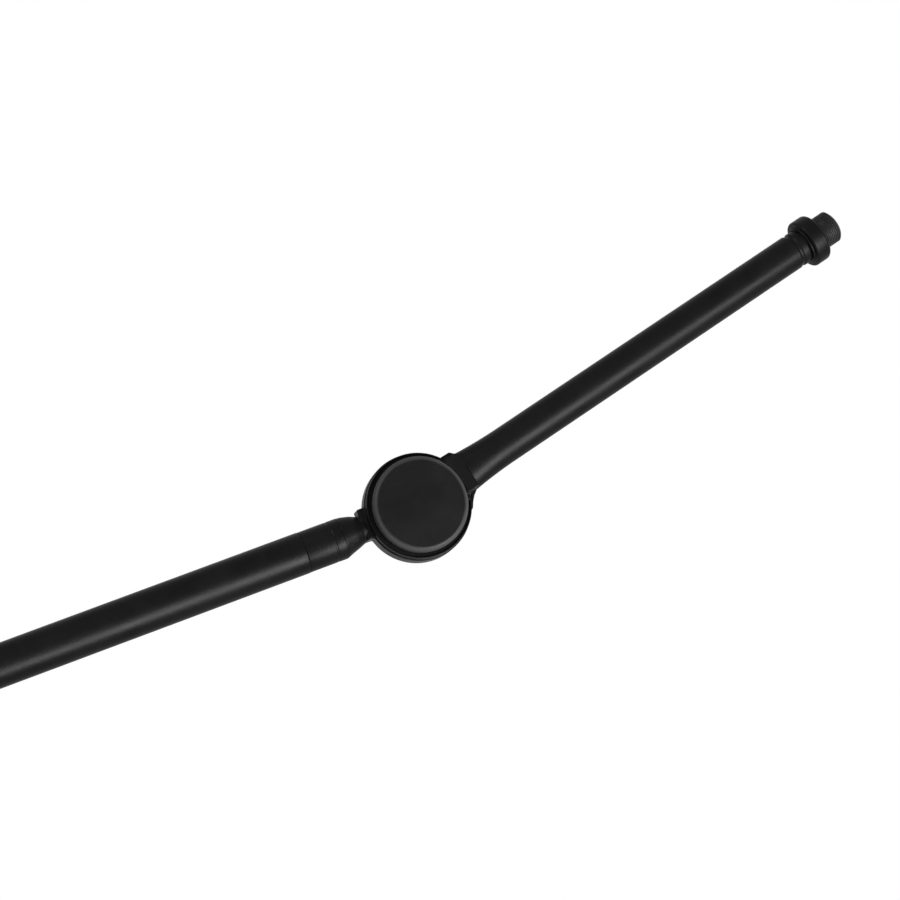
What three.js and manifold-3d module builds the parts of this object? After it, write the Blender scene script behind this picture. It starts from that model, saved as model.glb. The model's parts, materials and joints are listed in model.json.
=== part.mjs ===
// Boom microphone stand: hexagonal cast base, telescoping column, tilting clutch head, sliding boom
// with a counterweight, and a short mini-boom on a round clutch hub at the far end.
// Millimetres, +Z up, origin on the floor under the column axis. The boom rises toward +X.
import * as THREE from 'three';
import { mergeVertices } from 'three/addons/utils/BufferGeometryUtils.js';
import Module from 'manifold-3d';

const wasm = await Module();
wasm.setup();

// General
const FIT = 0.3; // running and seating gap between neighbours
const ROUND = 20; // sides of a slim round piece
const ROUND_WIDE = 32; // sides of a wide round piece
const ROUND_SMALL = 12; // sides of a screw or a pad

// Base
const BASE_CORNER_R = 222; // centre to corner of the hexagon
const BASE_FOOT_H = 9; // height of the casting's rim above the floor
const BASE_EDGE_H = 8; // height of the upright edge
const BASE_PLATE_H = 13.5; // height of the plate where it meets the boss
const BASE_BOSS_R = 38;
const BASE_BOSS_TOP = 46;
const BASE_PAD_R = 60; // flat pad under the middle
const BASE_PAD_Z = 3;
const FOOT_R = 14;
const FOOT_CIRCLE_R = 185;
const FOOT_STUD_R = 4;
const FOOT_STUD_H = 6;
const FOOT_COUNT = 6;

// Column
const LOWER_R = 15.875;
const LOWER_WALL = 1.5;
const LOWER_BOTTOM = 24.3;
const LOWER_TOP = 905;
const STUD_R = 8; // threaded end that screws into the casting
const STUD_BOTTOM = 10.3;
const PLUG_TOP = 70;
const UPPER_R = 12.7;
const UPPER_WALL = 1.5;
const UPPER_BOTTOM = 560;
const UPPER_TOP = 1395;
const GUIDE_LENGTH = 40;
const COLLAR_R = 22;
const COLLAR_GRIP = 45; // collar below the lower tube's mouth
const COLLAR_RISE = 32; // collar above the lower tube's mouth
const COLLAR_BOTTOM = LOWER_TOP - COLLAR_GRIP;
const BUSH_LENGTH = 35;
const COLUMN_SCREW_RISE = 16; // clamp screw above the lower tube's mouth
const CLAMP_BOSS_R = 9.5;
const CLAMP_BOSS_REACH = 8; // boss beyond the part it stands on
const CLAMP_SCREW_R = 4;
const CLAMP_SHOE_T = 3; // pad between a clamp screw and the tube it holds

// Knobs
const KNOB_R = 22;
const KNOB_T = 20;
const SMALL_KNOB_R = 14;
const SMALL_KNOB_T = 14;
const SMALL_SCREW_R = 3;

// Head
const SPIGOT_R = 8;
const SPIGOT_FLANGE_T = 5;
const SPIGOT_LENGTH = 40;
const SPIGOT_DEPTH = 55; // spigot inside the upper tube
const HEAD_R = 18;
const HEAD_BOTTOM = UPPER_TOP + FIT + SPIGOT_FLANGE_T;
const PIVOT_RISE = 89.7; // tilt pivot above the head's underside
const PIVOT_Z = HEAD_BOTTOM + PIVOT_RISE;
const CHEEK_R = 30;
const CHEEK_HALF_T = 8;
const SWIVEL_SCREW_Z = HEAD_BOTTOM + 21.7;
const SWIVEL_BOSS_R = 7;
const SWIVEL_BOSS_REACH = 4; // boss beyond the post
const PIVOT_BOLT_R = 5;
const FRICTION_T = 2;
const HANDLE_WASHER_R = PIVOT_BOLT_R + 6;
const HANDLE_WASHER_T = 1.6;

// Boom
const BOOM_RISE_DEG = 22;
const BOOM_OFFSET = 40; // boom axis in front of the column axis
const REAR_R = 12.7;
const REAR_WALL = 1.5;
const REAR_START = -560; // along the boom, from the tilt pivot
const REAR_END = 340;
const FRONT_R = 9.525;
const FRONT_WALL = 1.2;
const FRONT_OVERLAP = 50; // front tube held inside the rear tube
const JOINER_GRIP = 40; // joiner inside the rear tube
const JOINER_LIP = 1.3;
const END_CAP_T = 8;
const END_CAP_GRIP = 16; // end cap inside the rear tube
const HOLDER_LENGTH = 76;
const LINER_T = 1.3;
const HOLDER_WALL = 5; // holder beyond its liner
const HOLDER_R = REAR_R + LINER_T + HOLDER_WALL;
const WEIGHT_R = 50;
const WEIGHT_LENGTH = 75;
const WEIGHT_MIDDLE = -470;

// Tip of the boom
const HUB_S = 1275; // hub axis from the tilt pivot, along the boom
const HUB_RISE = 0.9; // hub axis above the boom axis
const HUB_R = 24.5;
const FERRULE_R = 9.4;
const FERRULE_BACK = HUB_R + 30.5; // ferrule's near end from the hub axis
const FERRULE_FRONT = HUB_R + 12.5;
const FERRULE_GROOVE = HUB_R + 17;
const FERRULE_SHANK = 40;
const PIN_R = 5; // swivel pin of the neck, inside the ferrule
const PIN_LENGTH = 50;
const NECK_R = 5.6;
const NECK_END = HUB_R + 2.5; // end of the neck's taper, from the hub axis
const NECK_LUG_END = HUB_R + 4.1;
const NECK_LUG_WIDE = 11;
const NECK_LUG_HIGH = 16;
const LUG_EDGE_R = 3;
const LUG_ROOT = HUB_R - 3.5; // lugs start inside the drum
const HUB_BACK = -6.5; // places across the hub count toward the cap, from the boom axis
const HUB_SPLIT = 6;
const HUB_EDGE_R = 4.5;
const FRONT_PLATE_R = HUB_R - 0.5;
const FRONT_PLATE_FACE = 9.5;
const CAP_R = HUB_R - 2.9;
const CAP_FACE = 15;
const CAP_FILLET = 1.8;
const CAP_WALL = 2.2;
const TIP_SCREW_R = 4;

// Mini-boom
const MINI_RISE_DEG = 35.2;
const MINI_RISE = 1.2; // mini-boom axis above the hub axis
const MINI_DEPTH = 5; // mini-boom axis toward the cap, from the boom axis
const MINI_R = 8.4;
const MINI_WALL = 1.2;
const MINI_START = HUB_R + 3.3;
const MINI_END = 224;
const MINI_FLARE_END = HUB_R + 25.5;
const MINI_FLARE_WIDE = 9.5; // half width and half depth of the flattened end
const MINI_FLARE_DEEP = 7;
const MINI_CRIMP = 219.5;
const TANG_END = MINI_START + 18.2; // tongue of the clutch inside the tube
const TANG_WIDE = 6;
const TANG_HIGH = 11;
const TANG_EDGE_R = 1.5;
const INSERT_SHANK = 25;
const LUG_HALF_WIDE = 9.5;
const RING_R = 11.7;
const RING_LENGTH = 8.9;
const THREAD_R = 7.94; // 5/8 inch, 27 threads per inch
const THREAD_END = 243.2;

const LOWER_BORE = LOWER_R - LOWER_WALL;
const UPPER_BORE = UPPER_R - UPPER_WALL;
const REAR_BORE = REAR_R - REAR_WALL;
const FRONT_BORE = FRONT_R - FRONT_WALL;
const COLLAR_TOP = LOWER_TOP + COLLAR_RISE;
const SPIGOT_TOP = HEAD_BOTTOM + SPIGOT_LENGTH;
const QUARTER = Math.PI / 2;

const finish = {
  coat: { color: 0x17181a, roughness: 0.55, metalness: 0.2 },
  cast: { color: 0x1c1d1f, roughness: 0.7, metalness: 0.2 },
  steel: { color: 0x9a9da1, roughness: 0.35, metalness: 1 },
  brass: { color: 0xb08d4a, roughness: 0.4, metalness: 1 },
  plastic: { color: 0x141415, roughness: 0.5, metalness: 0 },
  rubber: { color: 0x0d0d0d, roughness: 0.9, metalness: 0 },
  nylon: { color: 0xd8d5c8, roughness: 0.6, metalness: 0 },
  thread: { color: 0x2a2b2c, roughness: 0.45, metalness: 0.8 },
};

// A named mesh with its own material.
function piece(name, geometry, look) {
  const mesh = new THREE.Mesh(geometry, new THREE.MeshStandardMaterial(finish[look]));
  mesh.name = name;
  return mesh;
}

// Turns a profile of [radius, height] points about Z. The outline runs up its outer side.
function lathe(profile, sides = ROUND) {
  const points = profile.map(([r, z]) => new THREE.Vector2(r, z));
  const geometry = new THREE.LatheGeometry(points, sides);
  geometry.rotateX(QUARTER);
  return geometry;
}

function rod(radius, from, to, sides = ROUND) {
  return lathe([[0, from], [radius, from], [radius, to], [0, to]], sides);
}

function tube(outer, inner, from, to, sides = ROUND) {
  return lathe([[inner, from], [outer, from], [outer, to], [inner, to], [inner, from]], sides);
}

// Points of a quarter round between two directions, centred at [r, z].
function arc(r, z, radius, fromDeg, toDeg, steps = 3) {
  const points = [];
  for (let i = 0; i <= steps; i += 1) {
    const angle = THREE.MathUtils.degToRad(fromDeg + ((toDeg - fromDeg) * i) / steps);
    points.push([r + radius * Math.cos(angle), z + radius * Math.sin(angle)]);
  }
  return points;
}

// A block with rounded edges along its length: wide in Y, high in Z, running along X.
function roundedBar(wide, high, radius, from, to) {
  const w = wide / 2;
  const h = high / 2;
  const shape = new THREE.Shape();
  shape.moveTo(-w + radius, -h);
  shape.lineTo(w - radius, -h);
  shape.absarc(w - radius, -h + radius, radius, -QUARTER, 0);
  shape.lineTo(w, h - radius);
  shape.absarc(w - radius, h - radius, radius, 0, QUARTER);
  shape.lineTo(-w + radius, h);
  shape.absarc(-w + radius, h - radius, radius, QUARTER, Math.PI);
  shape.lineTo(-w, -h + radius);
  shape.absarc(-w + radius, -h + radius, radius, Math.PI, Math.PI + QUARTER);
  const bar = new THREE.ExtrudeGeometry(shape, { depth: to - from, bevelEnabled: false, curveSegments: 2 });
  bar.translate(0, 0, from);
  bar.rotateX(QUARTER);
  bar.rotateZ(QUARTER);
  return bar;
}

// A closed form along X through elliptical sections: at, half depth in Y, half width in Z.
function loft(sections, sides = ROUND) {
  const places = [];
  const faces = [];
  for (const { at, deep, wide } of sections) {
    for (let i = 0; i < sides; i += 1) {
      const angle = (i / sides) * Math.PI * 2;
      places.push(at, deep * Math.cos(angle), wide * Math.sin(angle));
    }
  }
  for (let ring = 0; ring < sections.length - 1; ring += 1) {
    for (let i = 0; i < sides; i += 1) {
      const a = ring * sides + i;
      const b = ring * sides + ((i + 1) % sides);
      faces.push(a, b, a + sides, b, b + sides, a + sides);
    }
  }
  const last = (sections.length - 1) * sides;
  for (let i = 1; i < sides - 1; i += 1) {
    faces.push(0, i + 1, i, last, last + i, last + i + 1);
  }
  const geometry = new THREE.BufferGeometry();
  geometry.setAttribute('position', new THREE.Float32BufferAttribute(places, 3));
  geometry.setIndex(faces);
  return geometry;
}

// A solid for cutting and joining, from a closed geometry.
function solid(geometry) {
  const bare = geometry.clone();
  bare.deleteAttribute('normal');
  bare.deleteAttribute('uv');
  const merged = mergeVertices(bare);
  const corners = merged.index.array;
  const kept = [];
  for (let i = 0; i < corners.length; i += 3) {
    const [a, b, c] = [corners[i], corners[i + 1], corners[i + 2]];
    if (a !== b && b !== c && c !== a) {
      kept.push(a, b, c);
    }
  }
  const vertProperties = new Float32Array(merged.attributes.position.array);
  return new wasm.Manifold(new wasm.Mesh({ numProp: 3, vertProperties, triVerts: new Uint32Array(kept) }));
}

function toGeometry(body) {
  const mesh = body.getMesh();
  const geometry = new THREE.BufferGeometry();
  geometry.setAttribute('position', new THREE.BufferAttribute(new Float32Array(mesh.vertProperties), 3));
  geometry.setIndex(new THREE.BufferAttribute(new Uint32Array(mesh.triVerts), 1));
  geometry.computeVertexNormals();
  return geometry;
}

// Joins the first list and takes the second away from it.
function build(joined, cuts = []) {
  let body = solid(joined[0]);
  for (const extra of joined.slice(1)) {
    body = body.add(solid(extra));
  }
  for (const cut of cuts) {
    body = body.subtract(solid(cut));
  }
  return toGeometry(body);
}

// Directions for pieces that are turned about Z first.
const alongX = (geometry) => geometry.rotateY(QUARTER);
const againstX = (geometry) => geometry.rotateY(-QUARTER);
const towardCap = (geometry) => geometry.rotateX(QUARTER); // Z becomes -Y
const downward = (geometry) => geometry.rotateX(Math.PI);

// Base

function baseCasting() {
  const rim = BASE_FOOT_H;
  const plateTop = rim + BASE_PLATE_H;
  const hexagon = lathe([
    [0, rim], [BASE_CORNER_R - 3, rim], [BASE_CORNER_R, rim + 3], [BASE_CORNER_R, rim + BASE_EDGE_H],
    [BASE_CORNER_R - 6, rim + BASE_EDGE_H + 3], [BASE_BOSS_R * 2, plateTop], [0, plateTop],
  ], 6);
  hexagon.rotateZ(Math.PI / 6);
  const boss = lathe([
    [0, rim + 1], [BASE_BOSS_R + 12, rim + 1], [BASE_BOSS_R + 12, plateTop],
    [BASE_BOSS_R + 3, plateTop + 4],
    [BASE_BOSS_R - 4, plateTop + 12], [BASE_BOSS_R - 8, BASE_BOSS_TOP - 2],
    [BASE_BOSS_R - 10, BASE_BOSS_TOP],
    [0, BASE_BOSS_TOP],
  ], ROUND_WIDE);
  const pad = rod(BASE_PAD_R, BASE_PAD_Z, rim + 1, ROUND_WIDE);
  const socket = rod(LOWER_R + FIT, LOWER_BOTTOM - FIT, BASE_BOSS_TOP + 1);
  const studHole = rod(STUD_R + FIT, STUD_BOTTOM - FIT, LOWER_BOTTOM);
  const footHoles = footPlaces().map(([x, y]) => {
    const hole = rod(FOOT_STUD_R + FIT, rim - 1, rim + FOOT_STUD_H, ROUND_SMALL);
    return hole.translate(x, y, 0);
  });
  return piece('base_casting', build([hexagon, boss, pad], [socket, studHole, ...footHoles]), 'cast');
}

function footPlaces() {
  return Array.from({ length: FOOT_COUNT }, (_, i) => {
    const angle = (i / FOOT_COUNT) * Math.PI * 2;
    return [FOOT_CIRCLE_R * Math.cos(angle), FOOT_CIRCLE_R * Math.sin(angle)];
  });
}

function baseFeet() {
  return footPlaces().map(([x, y], i) => {
    const foot = lathe([
      [0, 0], [FOOT_R - 1.5, 0], [FOOT_R, 1.5], [FOOT_R, BASE_FOOT_H - FIT],
      [FOOT_STUD_R, BASE_FOOT_H - FIT],
      [FOOT_STUD_R, BASE_FOOT_H + FOOT_STUD_H - FIT], [0, BASE_FOOT_H + FOOT_STUD_H - FIT],
    ], ROUND_SMALL);
    const mesh = piece(`base_foot_${i + 1}`, foot, 'rubber');
    mesh.position.set(x, y, 0);
    return mesh;
  });
}

// Column

function columnPlug() {
  const plug = lathe([
    [0, STUD_BOTTOM], [STUD_R, STUD_BOTTOM], [STUD_R, LOWER_BOTTOM], [LOWER_BORE - FIT, LOWER_BOTTOM],
    [LOWER_BORE - FIT, PLUG_TOP], [0, PLUG_TOP],
  ]);
  return piece('column_plug', plug, 'steel');
}

function columnCollar() {
  const screwZ = LOWER_TOP + COLUMN_SCREW_RISE;
  const shell = lathe([
    [0, COLLAR_BOTTOM], [COLLAR_R - 3, COLLAR_BOTTOM], [COLLAR_R, COLLAR_BOTTOM + 4],
    [COLLAR_R, COLLAR_TOP - 3],
    [COLLAR_R - 3, COLLAR_TOP], [0, COLLAR_TOP],
  ], ROUND_WIDE);
  const boss = againstX(rod(CLAMP_BOSS_R, UPPER_R, COLLAR_R + CLAMP_BOSS_REACH)).translate(0, 0, screwZ);
  const lowerBore = rod(LOWER_R + FIT, COLLAR_BOTTOM - 1, LOWER_TOP + FIT);
  const upperBore = rod(UPPER_R + FIT, LOWER_TOP, COLLAR_TOP + 1);
  const screwHole = againstX(rod(CLAMP_SCREW_R + FIT, UPPER_R, COLLAR_R + CLAMP_BOSS_REACH + 1));
  screwHole.translate(0, 0, screwZ);
  return piece('column_collar', build([shell, boss], [lowerBore, upperBore, screwHole]), 'cast');
}

// A clamp pad, in line with its screw and clear of the held tube.
function shoe(name, tubeR) {
  return piece(name, rod(CLAMP_SCREW_R, tubeR + FIT, tubeR + FIT + CLAMP_SHOE_T, ROUND_SMALL), 'brass');
}

const shoeEnd = (tubeR) => tubeR + FIT + CLAMP_SHOE_T;

// A clamp screw that stops short of its pad and ends inside its knob.
function clampScrew(name, radius, from, to) {
  return piece(name, rod(radius, from, to, ROUND_SMALL), 'steel');
}

// A round knob with a blind hole for its screw. It stands on Z, from height 0.
function knob(name, radius, thick, screwR) {
  const grip = lathe([
    [0, thick * 0.6], [screwR + FIT, thick * 0.6], [screwR + FIT, 0], [radius * 0.45, 0],
    [radius * 0.5, thick * 0.2], [radius * 0.93, thick * 0.3], [radius, thick * 0.42],
    [radius, thick * 0.82], [radius * 0.93, thick * 0.95], [radius * 0.8, thick], [0, thick],
  ], ROUND);
  return piece(name, grip, 'plastic');
}

// Knob, screw and the way they point, as one group that starts at the held tube's axis.
function clampSet(prefix, tubeR, knobAt, turn) {
  const group = new THREE.Group();
  const grip = knob(`${prefix}_knob`, KNOB_R, KNOB_T, CLAMP_SCREW_R);
  grip.position.z = knobAt;
  const screwEnd = knobAt + KNOB_T * 0.6 - FIT;
  group.add(grip, clampScrew(`${prefix}_screw`, CLAMP_SCREW_R, shoeEnd(tubeR) + FIT, screwEnd));
  group.add(shoe(`${prefix}_shoe`, tubeR));
  group.rotation.copy(turn);
  return group;
}

function baseAndColumn() {
  const group = new THREE.Group();
  group.add(baseCasting(), ...baseFeet(), columnPlug(), columnCollar());
  group.add(piece('lower_column', tube(LOWER_R, LOWER_BORE, LOWER_BOTTOM, LOWER_TOP), 'coat'));
  const bush = tube(LOWER_BORE - FIT, UPPER_R + FIT, LOWER_TOP - BUSH_LENGTH, LOWER_TOP);
  group.add(piece('collar_bush', bush, 'nylon'));
  const clamp = clampSet('column', UPPER_R, COLLAR_R + CLAMP_BOSS_REACH + FIT, new THREE.Euler(0, -QUARTER, 0));
  clamp.position.z = LOWER_TOP + COLUMN_SCREW_RISE;
  group.add(clamp);
  return group;
}

function upperColumn() {
  const group = new THREE.Group();
  group.add(piece('upper_column', tube(UPPER_R, UPPER_BORE, UPPER_BOTTOM, UPPER_TOP), 'steel'));
  const guide = tube(LOWER_BORE - FIT, UPPER_R + FIT, UPPER_BOTTOM, UPPER_BOTTOM + GUIDE_LENGTH);
  group.add(piece('column_guide', guide, 'nylon'));
  const spigot = lathe([
    [0, UPPER_TOP - SPIGOT_DEPTH], [UPPER_BORE - FIT, UPPER_TOP - SPIGOT_DEPTH],
    [UPPER_BORE - FIT, UPPER_TOP + FIT],
    [UPPER_R, UPPER_TOP + FIT], [UPPER_R, HEAD_BOTTOM - FIT], [SPIGOT_R, HEAD_BOTTOM - FIT],
    [SPIGOT_R, SPIGOT_TOP - FIT], [0, SPIGOT_TOP - FIT],
  ]);
  group.add(piece('column_spigot', spigot, 'steel'));
  return group;
}

// Head

function headCasting() {
  const neckZ = PIVOT_Z - CHEEK_R - 2;
  const post = lathe([
    [0, HEAD_BOTTOM], [HEAD_R - 2, HEAD_BOTTOM], [HEAD_R, HEAD_BOTTOM + 3], [HEAD_R, neckZ - 12],
    [CHEEK_HALF_T, neckZ], [CHEEK_HALF_T, PIVOT_Z - CHEEK_R / 2], [0, PIVOT_Z - CHEEK_R / 2],
  ], ROUND_WIDE);
  const cheek = towardCap(lathe([
    [0, -CHEEK_HALF_T], [CHEEK_R - 2, -CHEEK_HALF_T], [CHEEK_R, -CHEEK_HALF_T + 2], [CHEEK_R, CHEEK_HALF_T],
    [0, CHEEK_HALF_T],
  ], ROUND_WIDE)).translate(0, 0, PIVOT_Z);
  const boss = againstX(rod(SWIVEL_BOSS_R, SPIGOT_R, HEAD_R + SWIVEL_BOSS_REACH));
  boss.translate(0, 0, SWIVEL_SCREW_Z);
  const socket = rod(SPIGOT_R + FIT, HEAD_BOTTOM - 1, SPIGOT_TOP);
  const boltHole = towardCap(rod(PIVOT_BOLT_R + FIT, -CHEEK_HALF_T - 1, CHEEK_HALF_T + 1));
  boltHole.translate(0, 0, PIVOT_Z);
  const screwHole = againstX(rod(SMALL_SCREW_R + FIT, 0, HEAD_R + SWIVEL_BOSS_REACH + 1));
  screwHole.translate(0, 0, SWIVEL_SCREW_Z);
  return piece('head_casting', build([post, cheek, boss], [socket, boltHole, screwHole]), 'cast');
}

function swivelLock() {
  const group = new THREE.Group();
  const knobAt = HEAD_R + SWIVEL_BOSS_REACH + FIT;
  const grip = knob('swivel_knob', SMALL_KNOB_R, SMALL_KNOB_T, SMALL_SCREW_R);
  grip.position.z = knobAt;
  const screwEnd = knobAt + SMALL_KNOB_T * 0.6 - FIT;
  group.add(grip, clampScrew('swivel_screw', SMALL_SCREW_R, SPIGOT_R + FIT, screwEnd));
  group.rotation.y = -QUARTER;
  group.position.z = SWIVEL_SCREW_Z;
  return group;
}

// Tilting holder: places across it count toward the boom, from the column axis.
const DISC_FACE = CHEEK_HALF_T + FRICTION_T + 2 * FIT;
const BOLT_HEAD_AT = DISC_FACE + 5.4;
const BOLT_HEAD_T = 5.4;
const BOLT_HEAD_R = PIVOT_BOLT_R + 4;
const HANDLE_AT = CHEEK_HALF_T + HANDLE_WASHER_T + 2 * FIT;
const HANDLE_HUB_R = PIVOT_BOLT_R + 9;
const HANDLE_DEPTH = 26;
const HANDLE_HALF_BAR = 55;
const HANDLE_BAR_R = 6.5;
const BOLT_TAIL = HANDLE_AT + 20;

function boomHolder() {
  const disc = towardCap(lathe([
    [0, DISC_FACE], [CHEEK_R, DISC_FACE], [CHEEK_R, DISC_FACE + 8], [CHEEK_R - 8, DISC_FACE + 14],
    [0, DISC_FACE + 14],
  ], ROUND_WIDE));
  const sleeve = alongX(lathe([
    [0, -HOLDER_LENGTH / 2], [HOLDER_R - 2, -HOLDER_LENGTH / 2], [HOLDER_R, -HOLDER_LENGTH / 2 + 2],
    [HOLDER_R, HOLDER_LENGTH / 2 - 2], [HOLDER_R - 2, HOLDER_LENGTH / 2], [0, HOLDER_LENGTH / 2],
  ], ROUND_WIDE)).translate(0, -BOOM_OFFSET, 0);
  const boss = rod(CLAMP_BOSS_R, REAR_R + 4, HOLDER_R + CLAMP_BOSS_REACH).translate(0, -BOOM_OFFSET, 0);
  const bore = alongX(rod(REAR_R + LINER_T + 2 * FIT, -HOLDER_LENGTH, HOLDER_LENGTH));
  bore.translate(0, -BOOM_OFFSET, 0);
  const screwHole = rod(CLAMP_SCREW_R + FIT, REAR_R, HOLDER_R + CLAMP_BOSS_REACH + 1);
  screwHole.translate(0, -BOOM_OFFSET, 0);
  const boltHole = towardCap(rod(PIVOT_BOLT_R + FIT, DISC_FACE - 1, BOLT_HEAD_AT));
  const pocket = towardCap(rod(BOLT_HEAD_R + FIT, BOLT_HEAD_AT - FIT, BOLT_HEAD_AT + BOLT_HEAD_T + FIT, 6));
  const body = build([disc, sleeve, boss], [bore, screwHole, boltHole, pocket]);
  return piece('boom_holder', body, 'cast');
}

function boomLiner() {
  const half = HOLDER_LENGTH / 2;
  const sleeve = alongX(tube(REAR_R + LINER_T + FIT, REAR_R + FIT, -half, half));
  const hole = rod(CLAMP_SCREW_R + FIT, REAR_R - 2, HOLDER_R);
  const liner = piece('boom_liner', build([sleeve], [hole]), 'nylon');
  liner.position.y = -BOOM_OFFSET;
  return liner;
}

function pivotBolt() {
  const head = towardCap(rod(BOLT_HEAD_R, BOLT_HEAD_AT, BOLT_HEAD_AT + BOLT_HEAD_T, 6));
  const shank = towardCap(rod(PIVOT_BOLT_R, -BOLT_TAIL, BOLT_HEAD_AT + 1));
  return piece('pivot_bolt', build([head, shank]), 'steel');
}

function tiltHandle() {
  const hub = towardCap(lathe([
    [0, -HANDLE_AT - HANDLE_DEPTH], [HANDLE_HUB_R - 5, -HANDLE_AT - HANDLE_DEPTH],
    [HANDLE_HUB_R - 2, -HANDLE_AT - HANDLE_DEPTH + 3], [HANDLE_HUB_R, -HANDLE_AT - 6],
    [HANDLE_HUB_R, -HANDLE_AT], [0, -HANDLE_AT],
  ]));
  const bar = alongX(lathe([
    [0, -HANDLE_HALF_BAR], ...arc(0, -HANDLE_HALF_BAR + HANDLE_BAR_R, HANDLE_BAR_R, -60, 0, 2),
    [HANDLE_BAR_R - 1, 0], ...arc(0, HANDLE_HALF_BAR - HANDLE_BAR_R, HANDLE_BAR_R, 0, 60, 2),
    [0, HANDLE_HALF_BAR],
  ], ROUND_SMALL)).translate(0, HANDLE_AT + HANDLE_DEPTH - HANDLE_BAR_R - 2, 0);
  const bore = towardCap(rod(PIVOT_BOLT_R + FIT, -BOLT_TAIL - FIT, -HANDLE_AT + 1));
  return piece('tilt_handle', build([hub, bar], [bore]), 'cast');
}

function tiltGroup() {
  const group = new THREE.Group();
  const discAt = CHEEK_HALF_T + FIT;
  const disc = towardCap(tube(CHEEK_R - 4, PIVOT_BOLT_R + FIT, discAt, discAt + FRICTION_T));
  const washer = towardCap(tube(HANDLE_WASHER_R, PIVOT_BOLT_R + FIT, -discAt - HANDLE_WASHER_T, -discAt));
  group.add(boomHolder(), boomLiner(), pivotBolt(), tiltHandle());
  group.add(piece('friction_disc', disc, 'nylon'), piece('handle_washer', washer, 'steel'));
  const clamp = clampSet('boom', REAR_R, HOLDER_R + CLAMP_BOSS_REACH + FIT, new THREE.Euler(0, 0, 0));
  clamp.position.y = -BOOM_OFFSET;
  group.add(clamp);
  return group;
}

// Boom, along X from the tilt pivot

function boomJoiner() {
  const collar = lathe([
    [FRONT_R + FIT, REAR_END - JOINER_GRIP], [REAR_BORE - FIT, REAR_END - JOINER_GRIP],
    [REAR_BORE - FIT, REAR_END + FIT],
    [REAR_R, REAR_END + FIT], [REAR_R, REAR_END + 8], [FRONT_R + JOINER_LIP, REAR_END + 14],
    [FRONT_R + FIT, REAR_END + 14], [FRONT_R + FIT, REAR_END - JOINER_GRIP],
  ]);
  return piece('boom_joiner', alongX(collar), 'plastic');
}

function ferrule() {
  const near = HUB_S - FERRULE_BACK + FIT;
  const far = HUB_S - FERRULE_FRONT;
  const groove = HUB_S - FERRULE_GROOVE;
  const sleeve = lathe([
    [PIN_R + FIT, near - FERRULE_SHANK], [FRONT_BORE - FIT, near - FERRULE_SHANK], [FRONT_BORE - FIT, near],
    [FERRULE_R, near], [FERRULE_R, groove - 0.6], [FERRULE_R - 0.5, groove], [FERRULE_R, groove + 0.6],
    [FERRULE_R, far], [PIN_R + FIT, far], [PIN_R + FIT, near - FERRULE_SHANK],
  ]);
  return piece('ferrule', alongX(sleeve), 'coat');
}

function rearEndCap() {
  const cap = lathe([
    [0, REAR_START - END_CAP_T], [REAR_R - 3, REAR_START - END_CAP_T],
    [REAR_R, REAR_START - END_CAP_T + 3], [REAR_R, REAR_START - FIT],
    [REAR_BORE - FIT, REAR_START - FIT], [REAR_BORE - FIT, REAR_START + END_CAP_GRIP],
    [0, REAR_START + END_CAP_GRIP],
  ]);
  return piece('rear_end_cap', alongX(cap), 'plastic');
}

function counterweight() {
  const from = WEIGHT_MIDDLE - WEIGHT_LENGTH / 2;
  const to = WEIGHT_MIDDLE + WEIGHT_LENGTH / 2;
  const drum = alongX(lathe([
    [REAR_R + FIT, from], [WEIGHT_R - 4, from], [WEIGHT_R, from + 4], [WEIGHT_R, to - 4],
    [WEIGHT_R - 4, to],
    [REAR_R + FIT, to], [REAR_R + FIT, from],
  ], ROUND_WIDE));
  const screwHole = downward(rod(CLAMP_SCREW_R + FIT, REAR_R - 2, WEIGHT_R + 1)).translate(WEIGHT_MIDDLE, 0, 0);
  return piece('counterweight', build([drum], [screwHole]), 'cast');
}

function boomGroup() {
  const group = new THREE.Group();
  const front = alongX(tube(FRONT_R, FRONT_BORE, REAR_END - FRONT_OVERLAP, HUB_S - FERRULE_BACK));
  group.add(piece('rear_boom_tube', alongX(tube(REAR_R, REAR_BORE, REAR_START, REAR_END)), 'coat'));
  group.add(piece('front_boom_tube', front, 'coat'));
  group.add(boomJoiner(), ferrule(), rearEndCap(), counterweight());
  const clamp = clampSet('counterweight', REAR_R, WEIGHT_R + FIT, new THREE.Euler(Math.PI, 0, 0));
  clamp.position.x = WEIGHT_MIDDLE;
  group.add(clamp);
  group.position.y = -BOOM_OFFSET;
  return group;
}

// Tip clutch, centred on the hub axis

const WASHER_R = HUB_R - 6.8;
const WASHER_T = 1.2;
const SPRING_R = 8;
const SPRING_T = 1.4;
const NUT_T = 5.5;
const NUT_POCKET_R = 10;
const NUT_POCKET_AT = -2;
const TIP_NUT_R = 7.5;
const SCREW_HEAD_R = 8;
const SCREW_HEAD_AT = 8.5;
const SCREW_HEAD_T = 3.5;
const TIP_SCREW_TAIL = -10;

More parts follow.
